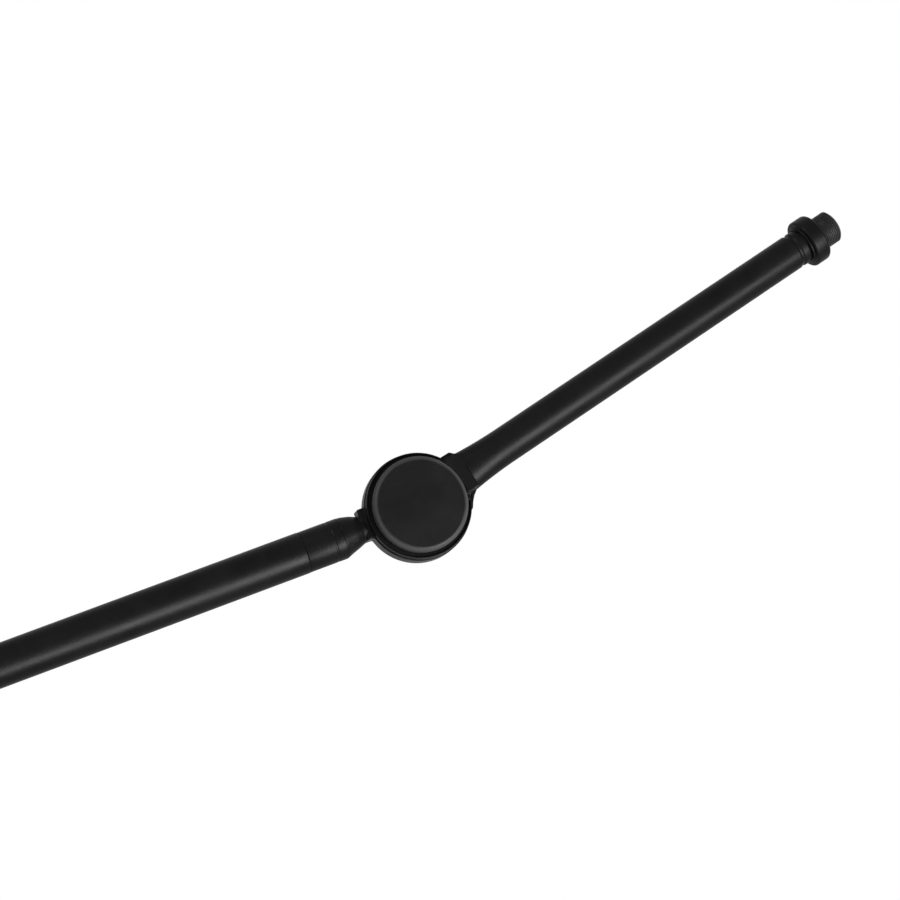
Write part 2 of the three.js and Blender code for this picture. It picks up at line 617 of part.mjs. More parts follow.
function rearHousing() {
  const washerSeat = HUB_SPLIT - WASHER_T - FIT;
  const drum = towardCap(lathe([
    [TIP_SCREW_R + FIT, NUT_POCKET_AT], [NUT_POCKET_R, NUT_POCKET_AT], [NUT_POCKET_R, HUB_BACK],
    ...arc(HUB_R - HUB_EDGE_R, HUB_BACK + HUB_EDGE_R, HUB_EDGE_R, -90, 0),
    [HUB_R, HUB_SPLIT], [WASHER_R + FIT, HUB_SPLIT], [WASHER_R + FIT, washerSeat],
    [TIP_SCREW_R + FIT, washerSeat], [TIP_SCREW_R + FIT, NUT_POCKET_AT],
  ], ROUND_WIDE));
  const lug = roundedBar(NECK_LUG_WIDE, NECK_LUG_HIGH, LUG_EDGE_R, -NECK_LUG_END, -LUG_ROOT);
  lug.translate(0, 0.5, -HUB_RISE);
  const neck = alongX(lathe([
    [0, -FERRULE_FRONT - PIN_LENGTH], [PIN_R, -FERRULE_FRONT - PIN_LENGTH], [PIN_R, -FERRULE_FRONT + FIT],
    [FERRULE_R - 0.2, -FERRULE_FRONT + FIT], [FERRULE_R - 0.2, -FERRULE_FRONT + 1],
    [NECK_R + 1.6, -NECK_END - 4.5],
    [NECK_R, -NECK_END], [NECK_R, -LUG_ROOT], [0, -LUG_ROOT],
  ])).translate(0, 0, -HUB_RISE);
  return piece('rear_housing', build([drum, lug, neck]), 'coat');
}

function tipClutch() {
  const group = new THREE.Group();
  const washer = towardCap(tube(WASHER_R, TIP_SCREW_R + FIT, HUB_SPLIT - WASHER_T, HUB_SPLIT));
  const springTop = NUT_POCKET_AT - FIT;
  const spring = towardCap(tube(SPRING_R, TIP_SCREW_R + FIT, springTop - SPRING_T, springTop));
  const screw = towardCap(lathe([
    [0, TIP_SCREW_TAIL], [TIP_SCREW_R, TIP_SCREW_TAIL], [TIP_SCREW_R, SCREW_HEAD_AT],
    [SCREW_HEAD_R, SCREW_HEAD_AT],
    [SCREW_HEAD_R, SCREW_HEAD_AT + SCREW_HEAD_T], [0, SCREW_HEAD_AT + SCREW_HEAD_T],
  ]));
  const nutTop = springTop - SPRING_T - FIT;
  const nutBody = towardCap(rod(TIP_NUT_R, nutTop - NUT_T, nutTop, 6));
  const nutBore = towardCap(rod(TIP_SCREW_R + FIT, HUB_BACK - 5, 0));
  const nut = build([nutBody], [nutBore]);
  group.add(rearHousing(), piece('friction_washer', washer, 'nylon'), piece('tip_screw', screw, 'steel'));
  group.add(piece('spring_washer', spring, 'steel'), piece('tip_nut', nut, 'steel'));
  group.position.set(HUB_S, -BOOM_OFFSET, HUB_RISE);
  return group;
}

function frontHousing() {
  const split = HUB_SPLIT + FIT;
  const seat = SCREW_HEAD_AT - FIT;
  const plate = towardCap(lathe([
    [TIP_SCREW_R + FIT, split], [FRONT_PLATE_R, split], [FRONT_PLATE_R, FRONT_PLATE_FACE - 0.6],
    [FRONT_PLATE_R - 0.6, FRONT_PLATE_FACE], [SCREW_HEAD_R + FIT, FRONT_PLATE_FACE],
    [SCREW_HEAD_R + FIT, seat], [TIP_SCREW_R + FIT, seat], [TIP_SCREW_R + FIT, split],
  ], ROUND_WIDE));
  const lug = roundedBar(MINI_FLARE_DEEP * 2, LUG_HALF_WIDE * 2, LUG_EDGE_R, LUG_ROOT - 1, MINI_START - FIT);
  lug.translate(0, -MINI_DEPTH, MINI_RISE);
  const tang = roundedBar(TANG_WIDE, TANG_HIGH, TANG_EDGE_R, MINI_START - 2, TANG_END);
  tang.translate(0, -MINI_DEPTH, MINI_RISE);
  const rearRoom = towardCap(rod(HUB_R + FIT, HUB_BACK - 5, split, ROUND_WIDE));
  const capRoom = towardCap(rod(CAP_R + FIT, FRONT_PLATE_FACE, CAP_FACE + 5, ROUND_WIDE));
  return piece('front_housing', build([plate, lug, tang], [rearRoom, capRoom]), 'coat');
}

function hubCap() {
  const under = FRONT_PLATE_FACE + FIT;
  const cap = towardCap(lathe([
    [0, CAP_FACE - CAP_WALL], [CAP_R - CAP_WALL, CAP_FACE - CAP_WALL], [CAP_R - CAP_WALL, under],
    [CAP_R, under], ...arc(CAP_R - CAP_FILLET, CAP_FACE - CAP_FILLET, CAP_FILLET, 0, 90), [0, CAP_FACE],
  ], ROUND_WIDE));
  return piece('hub_cap', cap, 'coat');
}

// Mini-boom, along X from the hub axis

// Sections of the flattened end, where a round tube of the given radius spreads to an ellipse.
function flareSections(inset) {
  const steps = 5;
  return Array.from({ length: steps + 1 }, (_, i) => {
    const t = i / steps;
    const ease = (1 - t) * (1 - t);
    return {
      at: MINI_START + (MINI_FLARE_END - MINI_START) * t,
      deep: MINI_R - inset + (MINI_FLARE_DEEP - MINI_R) * ease,
      wide: MINI_R - inset + (MINI_FLARE_WIDE - MINI_R) * ease,
    };
  });
}

function miniBoomTube() {
  const round = (at, radius) => ({ at, deep: radius, wide: radius });
  const outside = loft([
    ...flareSections(0), round(MINI_CRIMP - 1.5, MINI_R), round(MINI_CRIMP, MINI_R - 0.5),
    round(MINI_CRIMP + 1.5, MINI_R), round(MINI_END, MINI_R),
  ]);
  const inner = flareSections(MINI_WALL);
  const inside = loft([
    { ...inner[0], at: MINI_START - 1 }, ...inner, round(MINI_END + 1, MINI_R - MINI_WALL),
  ]);
  return piece('mini_boom_tube', build([outside], [inside]), 'coat');
}

function threadInsert() {
  const shank = MINI_R - MINI_WALL - FIT;
  const insert = lathe([
    [0, MINI_END - INSERT_SHANK], [shank, MINI_END - INSERT_SHANK], [shank, MINI_END + FIT],
    [THREAD_R, MINI_END + FIT],
    [THREAD_R, THREAD_END - 1.2], [THREAD_R - 1.2, THREAD_END], [0, THREAD_END],
  ]);
  return piece('thread_insert', alongX(insert), 'thread');
}

function lockRing() {
  const from = MINI_END + FIT;
  const to = from + RING_LENGTH;
  const round = 2;
  const ring = lathe([
    [THREAD_R + FIT, from], ...arc(RING_R - round, from + round, round, -90, 0),
    ...arc(RING_R - round, to - round, round, 0, 90), [THREAD_R + FIT, to], [THREAD_R + FIT, from],
  ], ROUND_WIDE);
  return piece('lock_ring', alongX(ring), 'coat');
}

function miniBoom() {
  const group = new THREE.Group();
  const hub = new THREE.Group();
  hub.add(frontHousing(), hubCap());
  const arm = new THREE.Group();
  arm.add(miniBoomTube(), threadInsert(), lockRing());
  arm.position.set(0, -MINI_DEPTH, MINI_RISE);
  group.add(hub, arm);
  return group;
}

const boomLine = new THREE.Group();
boomLine.add(boomGroup(), tipClutch());

const tilted = new THREE.Group();
tilted.add(tiltGroup(), boomLine);
tilted.rotation.y = -THREE.MathUtils.degToRad(BOOM_RISE_DEG);
tilted.position.z = PIVOT_Z;

const rise = THREE.MathUtils.degToRad(BOOM_RISE_DEG);
const mini = miniBoom();
mini.rotation.y = -THREE.MathUtils.degToRad(MINI_RISE_DEG);
mini.position.set(
  HUB_S * Math.cos(rise) - HUB_RISE * Math.sin(rise),
  -BOOM_OFFSET,
  PIVOT_Z + HUB_S * Math.sin(rise) + HUB_RISE * Math.cos(rise),
);

const stand = new THREE.Group();
stand.add(baseAndColumn(), upperColumn(), headCasting(), swivelLock(), tilted, mini);
export default stand;
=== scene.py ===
import json
import math
import bmesh
import bpy
from mathutils import Matrix, Vector


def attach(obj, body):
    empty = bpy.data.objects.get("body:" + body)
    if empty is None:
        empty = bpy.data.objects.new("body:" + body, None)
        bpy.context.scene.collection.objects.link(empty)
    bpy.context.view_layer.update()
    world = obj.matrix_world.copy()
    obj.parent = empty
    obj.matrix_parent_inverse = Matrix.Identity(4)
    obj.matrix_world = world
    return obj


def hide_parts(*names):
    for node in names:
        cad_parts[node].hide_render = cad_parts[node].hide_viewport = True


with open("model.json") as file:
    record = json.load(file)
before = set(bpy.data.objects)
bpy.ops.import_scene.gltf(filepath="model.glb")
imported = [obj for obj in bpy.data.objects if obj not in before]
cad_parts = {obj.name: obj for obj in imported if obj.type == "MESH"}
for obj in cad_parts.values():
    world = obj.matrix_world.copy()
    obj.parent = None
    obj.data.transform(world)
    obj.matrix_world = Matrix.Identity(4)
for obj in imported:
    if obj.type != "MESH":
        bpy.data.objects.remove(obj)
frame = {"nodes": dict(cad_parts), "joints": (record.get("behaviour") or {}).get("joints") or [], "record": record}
joints = {joint["name"]: joint for joint in frame["joints"]}
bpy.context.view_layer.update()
bodyOf = {node: body for body, nodes in frame["record"]["behaviour"]["bodies"].items() for node in nodes}
slotOf = {part["node"]: part["material_slot"] for part in frame["record"]["subparts"]}
millimetre = 0.001
fit = 0.3  # the CAD's gap between neighbours, in millimetres

# Shader wiring


class Wire:
    # a socket that takes part in Python arithmetic
    def __init__(self, tree, socket):
        self.tree = tree
        self.socket = socket

    def maths(self, operation, first, second):
        node = self.tree.nodes.new("ShaderNodeMath")
        node.operation = operation
        for place, value in zip(node.inputs, (first, second)):
            if isinstance(value, Wire):
                self.tree.links.new(value.socket, place)
            else:
                place.default_value = value
        return Wire(self.tree, node.outputs[0])

    def __add__(self, other):
        return self.maths("ADD", self, other)

    def __radd__(self, other):
        return self.maths("ADD", other, self)

    def __sub__(self, other):
        return self.maths("SUBTRACT", self, other)

    def __rsub__(self, other):
        return self.maths("SUBTRACT", other, self)

    def __mul__(self, other):
        return self.maths("MULTIPLY", self, other)

    def __rmul__(self, other):
        return self.maths("MULTIPLY", other, self)


class Recipe:
    # one material, built node by node
    def __init__(self, name):
        self.material = bpy.data.materials.new(name)
        self.material.use_nodes = True
        self.tree = self.material.node_tree
        self.tree.nodes.clear()

    def node(self, kind, settings=None, sockets=None, output=0):
        made = self.tree.nodes.new(kind)
        for key, value in (settings or {}).items():
            setattr(made, key, value)
        for key, value in (sockets or {}).items():
            if isinstance(value, Wire):
                self.tree.links.new(value.socket, made.inputs[key])
            else:
                made.inputs[key].default_value = value
        return Wire(self.tree, made.outputs[output]) if len(made.outputs) else None

    def noise(self, scale, detail=3.0, roughness=0.5, where=None):
        where = where or self.node("ShaderNodeTexCoord", output=3)
        sockets = {"Vector": where, "Scale": scale, "Detail": detail, "Roughness": roughness}
        return self.node("ShaderNodeTexNoise", sockets=sockets)

    def shade(self, sockets):
        shader = self.node("ShaderNodeBsdfPrincipled", sockets=sockets)
        self.node("ShaderNodeOutputMaterial", sockets={"Surface": shader})
        return self.material


def blendColour(recipe, amount, first, second):
    return recipe.node("ShaderNodeMix", {"data_type": "RGBA"}, {0: amount, 6: (*first, 1), 7: (*second, 1)}, output=2)


def ranged(recipe, value, fromLow, fromHigh, low, high):
    sockets = {"Value": value, "From Min": fromLow, "From Max": fromHigh, "To Min": low, "To Max": high}
    return recipe.node("ShaderNodeMapRange", sockets=sockets)


def bumped(recipe, height, distance, strength=1.0):
    return recipe.node("ShaderNodeBump", sockets={"Height": height, "Distance": distance, "Strength": strength})


# A sprayed or dipped finish: fine orange peel, soft mottling in its gloss, and dust-pale scuffs on edges; a finish may
# instead carry a paler ring painted on as a highlight.
def coatedFinish(name, look):
    recipe = Recipe(name)
    peel = recipe.noise(look["peelScale"], 2.0)
    mottle = recipe.noise(look["mottleScale"], 4.0, 0.6)
    speck = recipe.noise(look["speckScale"], 1.0)
    edge = recipe.node("ShaderNodeNewGeometry", output=7)
    wearAndSheenMask = ranged(recipe, edge + mottle * 0.06, look["wearFrom"], look["wearFrom"] + 0.05, 0, look["wearAndSheen"])
    if "paintedHighlightRing" in look:
        # a paler ring painted on a rounded rim as a highlight: its axis, and the radii in metres where the painted
        # highlight starts and is full
        axis, start, full = look["paintedHighlightRing"]
        where = recipe.node("ShaderNodeTexCoord", output=3)
        offset = recipe.node("ShaderNodeVectorMath", {"operation": "SUBTRACT"}, {0: where, 1: axis})
        flat = recipe.node("ShaderNodeVectorMath", {"operation": "MULTIPLY"}, {0: offset, 1: (1, 0, 1)})
        away = recipe.node("ShaderNodeVectorMath", {"operation": "LENGTH"}, {0: flat}, output=1)
        wearAndSheenMask = ranged(recipe, away + mottle * 0.0006, start, full, 0, look["wearAndSheen"])
    shade = ranged(recipe, mottle, 0.35, 0.65, 0, 1)
    colour = blendColour(recipe, shade, look["dark"], look["light"])
    # mixes in the paler colour: dust-pale scuffs on edges, and on the cap a ring painted on as a highlight
    sockets = {0: wearAndSheenMask, 6: colour, 7: (*look["wearAndSheenColour"], 1)}
    colour = recipe.node("ShaderNodeMix", {"data_type": "RGBA"}, sockets, output=2)
    gloss = ranged(recipe, mottle + speck * 0.3, 0.4, 0.9, look["smooth"], look["rough"])
    normal = bumped(recipe, peel + speck * 0.4, look["peelDepth"])
    return recipe.shade({"Base Color": colour, "Roughness": gloss, "Normal": normal,
                         "Specular IOR Level": look["specular"]})


# A metal surface with fine marks round or along its axis.
def metalFinish(name, look):
    recipe = Recipe(name)
    where = recipe.node("ShaderNodeTexCoord", output=3)
    stretched = recipe.node("ShaderNodeMapping", sockets={"Vector": where, "Scale": look["grain"]})
    marks = recipe.noise(1.0, 5.0, 0.65, stretched)
    cloud = recipe.noise(look["cloudScale"], 3.0, 0.6)
    colour = blendColour(recipe, ranged(recipe, cloud, 0.3, 0.7, 0, 1), look["dark"], look["light"])
    gloss = ranged(recipe, marks * 0.6 + cloud * 0.4, 0.35, 0.65, look["smooth"], look["rough"])
    normal = bumped(recipe, marks, look["markDepth"])
    return recipe.shade({"Base Color": colour, "Metallic": 1.0, "Roughness": gloss, "Normal": normal})


finishes = {}

blackCoat = {
    "dark": (0.0016, 0.0016, 0.0017), "light": (0.0026, 0.0026, 0.0027), "wearAndSheenColour": (0.02, 0.02, 0.02),
    "peelScale": 900.0, "mottleScale": 60.0, "speckScale": 2600.0, "peelDepth": 0.00006,
    "smooth": 0.33, "rough": 0.43, "specular": 0.055, "wearAndSheen": 0.35, "wearFrom": 0.6,
}
finishes["black_coat"] = coatedFinish("satin black powder coat", blackCoat)
finishes["cap_coat"] = coatedFinish("satin black coat on the cap", {
    **blackCoat, "dark": (0.0026, 0.0026, 0.0028), "light": (0.0038, 0.0038, 0.0040), "peelDepth": 0.00003,
    # on the cap the paler colour and its strength paint a highlight on the rounded edge, between 19.7 and 21 mm from
    # its axis
    "smooth": 0.36, "rough": 0.44, "wearAndSheen": 0.9, "wearAndSheenColour": (0.026, 0.026, 0.0262),
    "paintedHighlightRing": (joints["mini_boom_pivot"]["pos_m"], 0.0197, 0.0210),
})
finishes["cast_base"] = coatedFinish("textured enamel on the base", {
    **blackCoat, "dark": (0.008, 0.008, 0.0085), "light": (0.014, 0.014, 0.0145), "peelScale": 420.0,
    "speckScale": 1300.0, "peelDepth": 0.00035, "smooth": 0.5, "rough": 0.68, "wearAndSheen": 0.6, "specular": 0.3,
})
finishes["cast_fittings"] = coatedFinish("enamel on cast fittings", {
    **blackCoat, "dark": (0.006, 0.006, 0.0065), "light": (0.011, 0.011, 0.0115), "peelScale": 600.0,
    "peelDepth": 0.00015, "smooth": 0.42, "rough": 0.58, "wearAndSheen": 0.5, "specular": 0.25,
})
finishes["black_plastic"] = coatedFinish("moulded black plastic", {
    **blackCoat, "dark": (0.006, 0.006, 0.006), "light": (0.01, 0.01, 0.01), "peelScale": 2200.0,
    "peelDepth": 0.00005, "smooth": 0.36, "rough": 0.46, "wearAndSheen": 0.3, "specular": 0.35,
})
finishes["rubber"] = coatedFinish("black rubber", {
    **blackCoat, "dark": (0.01, 0.01, 0.01), "light": (0.02, 0.02, 0.019), "peelScale": 700.0,
    "peelDepth": 0.00008, "smooth": 0.7, "rough": 0.9, "wearAndSheen": 0.4, "specular": 0.25,
    "wearAndSheenColour": (0.06, 0.06, 0.055),
})
finishes["nylon"] = coatedFinish("natural nylon", {
    **blackCoat, "dark": (0.5, 0.47, 0.38), "light": (0.6, 0.57, 0.48), "peelScale": 800.0,
    "peelDepth": 0.00004, "smooth": 0.4, "rough": 0.55, "wearAndSheen": 0.0, "specular": 0.4,
})
finishes["thread_steel"] = coatedFinish("black oxide on the thread", {
    **blackCoat, "dark": (0.006, 0.006, 0.0063), "light": (0.010, 0.010, 0.0102), "peelScale": 1600.0,
    "peelDepth": 0.00004, "smooth": 0.4, "rough": 0.55, "wearAndSheen": 0.15, "specular": 0.12,
    "wearAndSheenColour": (0.06, 0.06, 0.06),
})
finishes["plated_column"] = metalFinish("black polished plating", {
    "dark": (0.02, 0.02, 0.021), "light": (0.03, 0.03, 0.031), "grain": (900.0, 900.0, 14.0), "cloudScale": 12.0,
    "smooth": 0.16, "rough": 0.26, "markDepth": 0.000006,
})
finishes["zinc_steel"] = metalFinish("bright zinc plating", {
    "dark": (0.42, 0.42, 0.41), "light": (0.6, 0.6, 0.57), "grain": (1400.0, 1400.0, 1400.0), "cloudScale": 160.0,
    "smooth": 0.25, "rough": 0.42, "markDepth": 0.00002,
})
finishes["brass"] = metalFinish("turned brass", {
    "dark": (0.5, 0.34, 0.13), "light": (0.66, 0.48, 0.22), "grain": (900.0, 900.0, 900.0), "cloudScale": 120.0,
    "smooth": 0.25, "rough": 0.4, "markDepth": 0.00002,
})
print("finishes made:", len(finishes))

# Spaces: X runs along a piece's own axis


def spaceAt(origin, along, up):
    x = Vector(along).normalized()
    z = Vector(up)
    z = (z - z.dot(x) * x).normalized()
    y = z.cross(x)
    turn = Matrix((x, y, z)).transposed().to_4x4()
    return Matrix.Translation(Vector(origin)) @ turn @ Matrix.Scale(millimetre, 4)


hub = Vector(joints["mini_boom_pivot"]["pos_m"])
boomWay = Vector(joints["boom_slide"]["axis"])
miniWay = Vector(joints["lock_ring_turn"]["axis"])
boomUp = Vector((-boomWay.z, 0, boomWay.x))
miniUp = Vector((-miniWay.z, 0, miniWay.x))
tiltPivot = Vector(joints["boom_tilt"]["pos_m"])
miniPoint = Vector(joints["lock_ring_turn"]["pos_m"])
miniStart = miniPoint - miniWay * (miniPoint - hub).dot(miniWay)
towardCap = Vector((0, -1, 0))

columnSpace = spaceAt((0, 0, 0), (0, 0, 1), (1, 0, 0))
boomSpace = spaceAt(tiltPivot, boomWay, boomUp)
pivotSpace = spaceAt((tiltPivot.x, 0, tiltPivot.z), towardCap, boomUp)
hubSpace = spaceAt(hub, towardCap, boomUp)
hubMiniSpace = spaceAt(hub, towardCap, miniUp)
miniSpace = spaceAt(miniStart, miniWay, miniUp)


def reach(node, space):
    # lowest and highest corner of a CAD node in a space, in millimetres
    inward = space.inverted()
    places = [inward @ vertex.co for vertex in frame["nodes"][node].data.vertices]
    low = Vector([min(place[axis] for place in places) for axis in range(3)])
    high = Vector([max(place[axis] for place in places) for axis in range(3)])
    return low, high


# Mesh making


def finishPiece(name, mesh, space, nodes, finish=None, sharpDeg=32):
    mesh.transform(space)
    mesh.shade_smooth()
    mesh.set_sharp_from_angle(angle=math.radians(sharpDeg))
    piece = bpy.data.objects.new(name.replace(" ", "_"), mesh)
    bpy.context.scene.collection.objects.link(piece)
    slot = slotOf[nodes[0]]
    mesh.materials.clear()
    mesh.materials.append(finish or finishes[slot])
    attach(piece, bodyOf[nodes[0]])
    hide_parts(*nodes)
    return piece


def rounded(points, radius, steps=4):
    # softens each corner of an outline; a corner given as (x, y, r) has its own radius
    result = []
    last = len(points) - 1
    for index, point in enumerate(points):
        own = point[2] if len(point) > 2 else radius
        here = Vector(point[:2])
        if index in (0, last) or own <= 0:
            result.append(tuple(here))
            continue
        before = Vector(points[index - 1][:2]) - here
        after = Vector(points[index + 1][:2]) - here
        turn = before.angle(after, math.pi)
        if turn > math.radians(178):
            result.append(tuple(here))
            continue
        back = min(own / math.tan(turn / 2), before.length * 0.49, after.length * 0.49)
        size = back * math.tan(turn / 2)
        start = here + before.normalized() * back
        middle = here + (before.normalized() + after.normalized()).normalized() * (size / math.sin(turn / 2))
        first = start - middle
        end = here + after.normalized() * back - middle
        sweep = first.angle_signed(end, 0)
        for step in range(steps + 1):
            result.append(tuple(middle + Matrix.Rotation(-sweep * step / steps, 2) @ first))
    return result


def turnedMesh(outline, sides=96, closed=False, ring=None):
    # turns an outline of (x, radius) points about X; ring(angle, x, radius) may reshape the radius
    made = bmesh.new()
    rows = []
    for x, radius in outline:
        if radius < 1e-6:
            rows.append([made.verts.new((x, 0, 0))])
            continue
        row = []
        for side in range(sides):
            angle = 2 * math.pi * side / sides
            size = ring(angle, x, radius) if ring else radius
            row.append(made.verts.new((x, size * math.cos(angle), size * math.sin(angle))))
        rows.append(row)
    pairs = list(zip(rows, rows[1:]))
    if closed:
        pairs.append((rows[-1], rows[0]))
    for first, second in pairs:
        for side in range(sides):
            after = (side + 1) % sides
            if len(first) == 1 and len(second) == 1:
                break
            if len(first) == 1:
                made.faces.new((first[0], second[side], second[after]))
            elif len(second) == 1:
                made.faces.new((first[side], second[0], first[after]))
            else:
                made.faces.new((first[side], second[side], second[after], first[after]))
    bmesh.ops.recalc_face_normals(made, faces=made.faces)
    mesh = bpy.data.meshes.new("turned")
    made.to_mesh(mesh)
    made.free()
    return mesh


def turned(name, outline, space, nodes, radius=0.6, steps=4, sides=96, closed=False, **more):
    soft = rounded(outline + outline[:1], radius, steps)[:-1] if closed else rounded(outline, radius, steps)
    return finishPiece(name, turnedMesh(soft, sides, closed), space, nodes, **more)


def sleeveOutline(low, high, outer, inner):
    # a closed outline for a tube
    return [(low, inner), (low, outer), (high, outer), (high, inner)]


def blockMesh(low, high):
    made = bmesh.new()
    bmesh.ops.create_cube(made, size=1)
    size = Vector(high) - Vector(low)
    for vertex in made.verts:
        vertex.co = Vector(low) + Vector([(vertex.co[axis] + 0.5) * size[axis] for axis in range(3)])
    mesh = bpy.data.meshes.new("block")
    made.to_mesh(mesh)
    made.free()
    return mesh


def cast(joined, voxel, smoothing):
    # joins closed meshes into one skin with soft inner corners
    base = bpy.data.objects.new("blank", joinMeshes(joined))
    bpy.context.scene.collection.objects.link(base)
    remesh = base.modifiers.new("skin", "REMESH")
    remesh.mode = "VOXEL"
    remesh.voxel_size = voxel
    soften = base.modifiers.new("soften", "SMOOTH")
    soften.factor = 0.5
    soften.iterations = smoothing
    graph = bpy.context.evaluated_depsgraph_get()
    mesh = bpy.data.meshes.new_from_object(base.evaluated_get(graph))
    bpy.data.objects.remove(base)
    return mesh


def joinMeshes(meshes):
    made = bmesh.new()
    for mesh in meshes:
        made.from_mesh(mesh)
    result = bpy.data.meshes.new("joined")
    made.to_mesh(result)
    made.free()
    return result


def shifted(mesh, x=0, y=0, z=0, turn=None):
    if turn:
        mesh.transform(turn.to_4x4())
    mesh.transform(Matrix.Translation((x, y, z)))
    return mesh


def onY(mesh, x=0, y=0, z=0):
    # lays a piece turned about X along Y instead
    return shifted(mesh, x, y, z, Matrix.Rotation(math.pi / 2, 3, "Z"))


def onZ(mesh, x=0, y=0, z=0, down=False):
    return shifted(mesh, x, y, z, Matrix.Rotation((1 if down else -1) * math.pi / 2, 3, "Y"))


# What repeats: ribs round a knob and threads, as Geometry Nodes


class Maker:
    # a Geometry Nodes tree with named size inputs
    def __init__(self, name, sizes):
        self.tree = bpy.data.node_groups.new(name, "GeometryNodeTree")
        self.sizes = sizes
        self.keys = {}
        for size, kind in sizes.items():
            socket = self.tree.interface.new_socket(size, in_out="INPUT", socket_type=kind)
            self.keys[size] = socket.identifier
        self.tree.interface.new_socket("Geometry", in_out="OUTPUT", socket_type="NodeSocketGeometry")
        self.given = self.tree.nodes.new("NodeGroupInput")

    def size(self, name):
        return Wire(self.tree, self.given.outputs[name])

    def node(self, kind, settings=None, sockets=None, output=0):
        return Recipe.node(self, kind, settings, sockets, output)

    def finish(self, geometry):
        real = self.node("GeometryNodeRealizeInstances", sockets={"Geometry": geometry})
        painted = self.node("GeometryNodeSetMaterial", sockets={"Geometry": real, "Material": self.size("Material")})
        out = self.tree.nodes.new("NodeGroupOutput")
        self.tree.links.new(painted.socket, out.inputs[0])

    def mesh(self, values):
        blank = bpy.data.objects.new("blank", bpy.data.meshes.new("blank"))
        bpy.context.scene.collection.objects.link(blank)
        modifier = blank.modifiers.new("maker", "NODES")
        modifier.node_group = self.tree
        for name, value in values.items():
            modifier[self.keys[name]] = value
        graph = bpy.context.evaluated_depsgraph_get()
        mesh = bpy.data.meshes.new_from_object(blank.evaluated_get(graph))
        bpy.data.objects.remove(blank)
        return mesh


def ribRingMaker():
    # rounded ribs side by side round the X axis
    maker = Maker("rib ring", {"Count": "NodeSocketInt", "Ring radius": "NodeSocketFloat",
                               "Rib radius": "NodeSocketFloat", "Rib length": "NodeSocketFloat",
                               "Place": "NodeSocketFloat", "Material": "NodeSocketMaterial"})
    circle = maker.node("GeometryNodeMeshCircle", sockets={"Vertices": maker.size("Count"),
                                                           "Radius": maker.size("Ring radius")})
    rib = maker.node("GeometryNodeMeshUVSphere", sockets={"Segments": 10, "Rings": 8, "Radius": 1.0})
    scale = maker.node("ShaderNodeCombineXYZ", sockets={"X": maker.size("Rib radius"), "Y": maker.size("Rib radius"),
                                                        "Z": maker.size("Rib length") * 0.5})
    ribs = maker.node("GeometryNodeInstanceOnPoints", sockets={"Points": circle, "Instance": rib, "Scale": scale})
    place = maker.node("ShaderNodeCombineXYZ", sockets={"X": maker.size("Place")})
    laid = maker.node("GeometryNodeTransform", sockets={"Geometry": ribs, "Rotation": (0, math.pi / 2, 0),
                                                        "Translation": place})
    maker.finish(laid)
    return maker


def threadMaker():
    # one rounded ridge wound round the X axis
    maker = Maker("thread", {"Turns": "NodeSocketFloat", "Middle radius": "NodeSocketFloat",
                             "Ridge radius": "NodeSocketFloat", "Length": "NodeSocketFloat",
                             "Start": "NodeSocketFloat", "Material": "NodeSocketMaterial"})
    spiral = maker.node("GeometryNodeCurveSpiral", sockets={
        "Resolution": 40, "Rotations": maker.size("Turns"), "Start Radius": maker.size("Middle radius"),
        "End Radius": maker.size("Middle radius"), "Height": maker.size("Length")})
    section = maker.node("GeometryNodeCurvePrimitiveCircle", sockets={"Resolution": 8,
                                                                      "Radius": maker.size("Ridge radius")})
    ridge = maker.node("GeometryNodeCurveToMesh", sockets={"Curve": spiral, "Profile Curve": section,
                                                           "Fill Caps": True})
    start = maker.node("ShaderNodeCombineXYZ", sockets={"X": maker.size("Start")})
    laid = maker.node("GeometryNodeTransform", sockets={"Geometry": ridge, "Rotation": (0, math.pi / 2, 0),
                                                        "Translation": start})
    maker.finish(laid)
    return maker


ribRing = ribRingMaker()
thread = threadMaker()


def threadMesh(start, end, outer, pitch, finish):
    ridge = pitch * 0.42
    return thread.mesh({"Turns": (end - start - 2 * ridge) / pitch, "Middle radius": outer - ridge,
                        "Ridge radius": ridge, "Length": end - start - 2 * ridge, "Start": start + ridge,
                        "Material": finish})


print("makers ready")

# Base

baseShape = {"cornerRadius": 20, "rim": 9, "plateRise": 13.5, "bossRadius": 38, "bore": 16.3, "socketDepth": 20,
             "around": 192}


def hexRadius(angle, apothem, corner):
    # distance to the edge of a hexagon with rounded corners; its corners point along world X
    sixth = math.pi / 3
    fromFlat = abs((angle % sixth) - sixth / 2)
    centre = (apothem - corner) / math.cos(sixth / 2)
    turning = math.atan2(centre * 0.5, apothem)
    if fromFlat <= turning:
        return apothem / math.cos(fromFlat)
    off = sixth / 2 - fromFlat
    return centre * math.cos(off) + math.sqrt(corner ** 2 - (centre * math.sin(off)) ** 2)


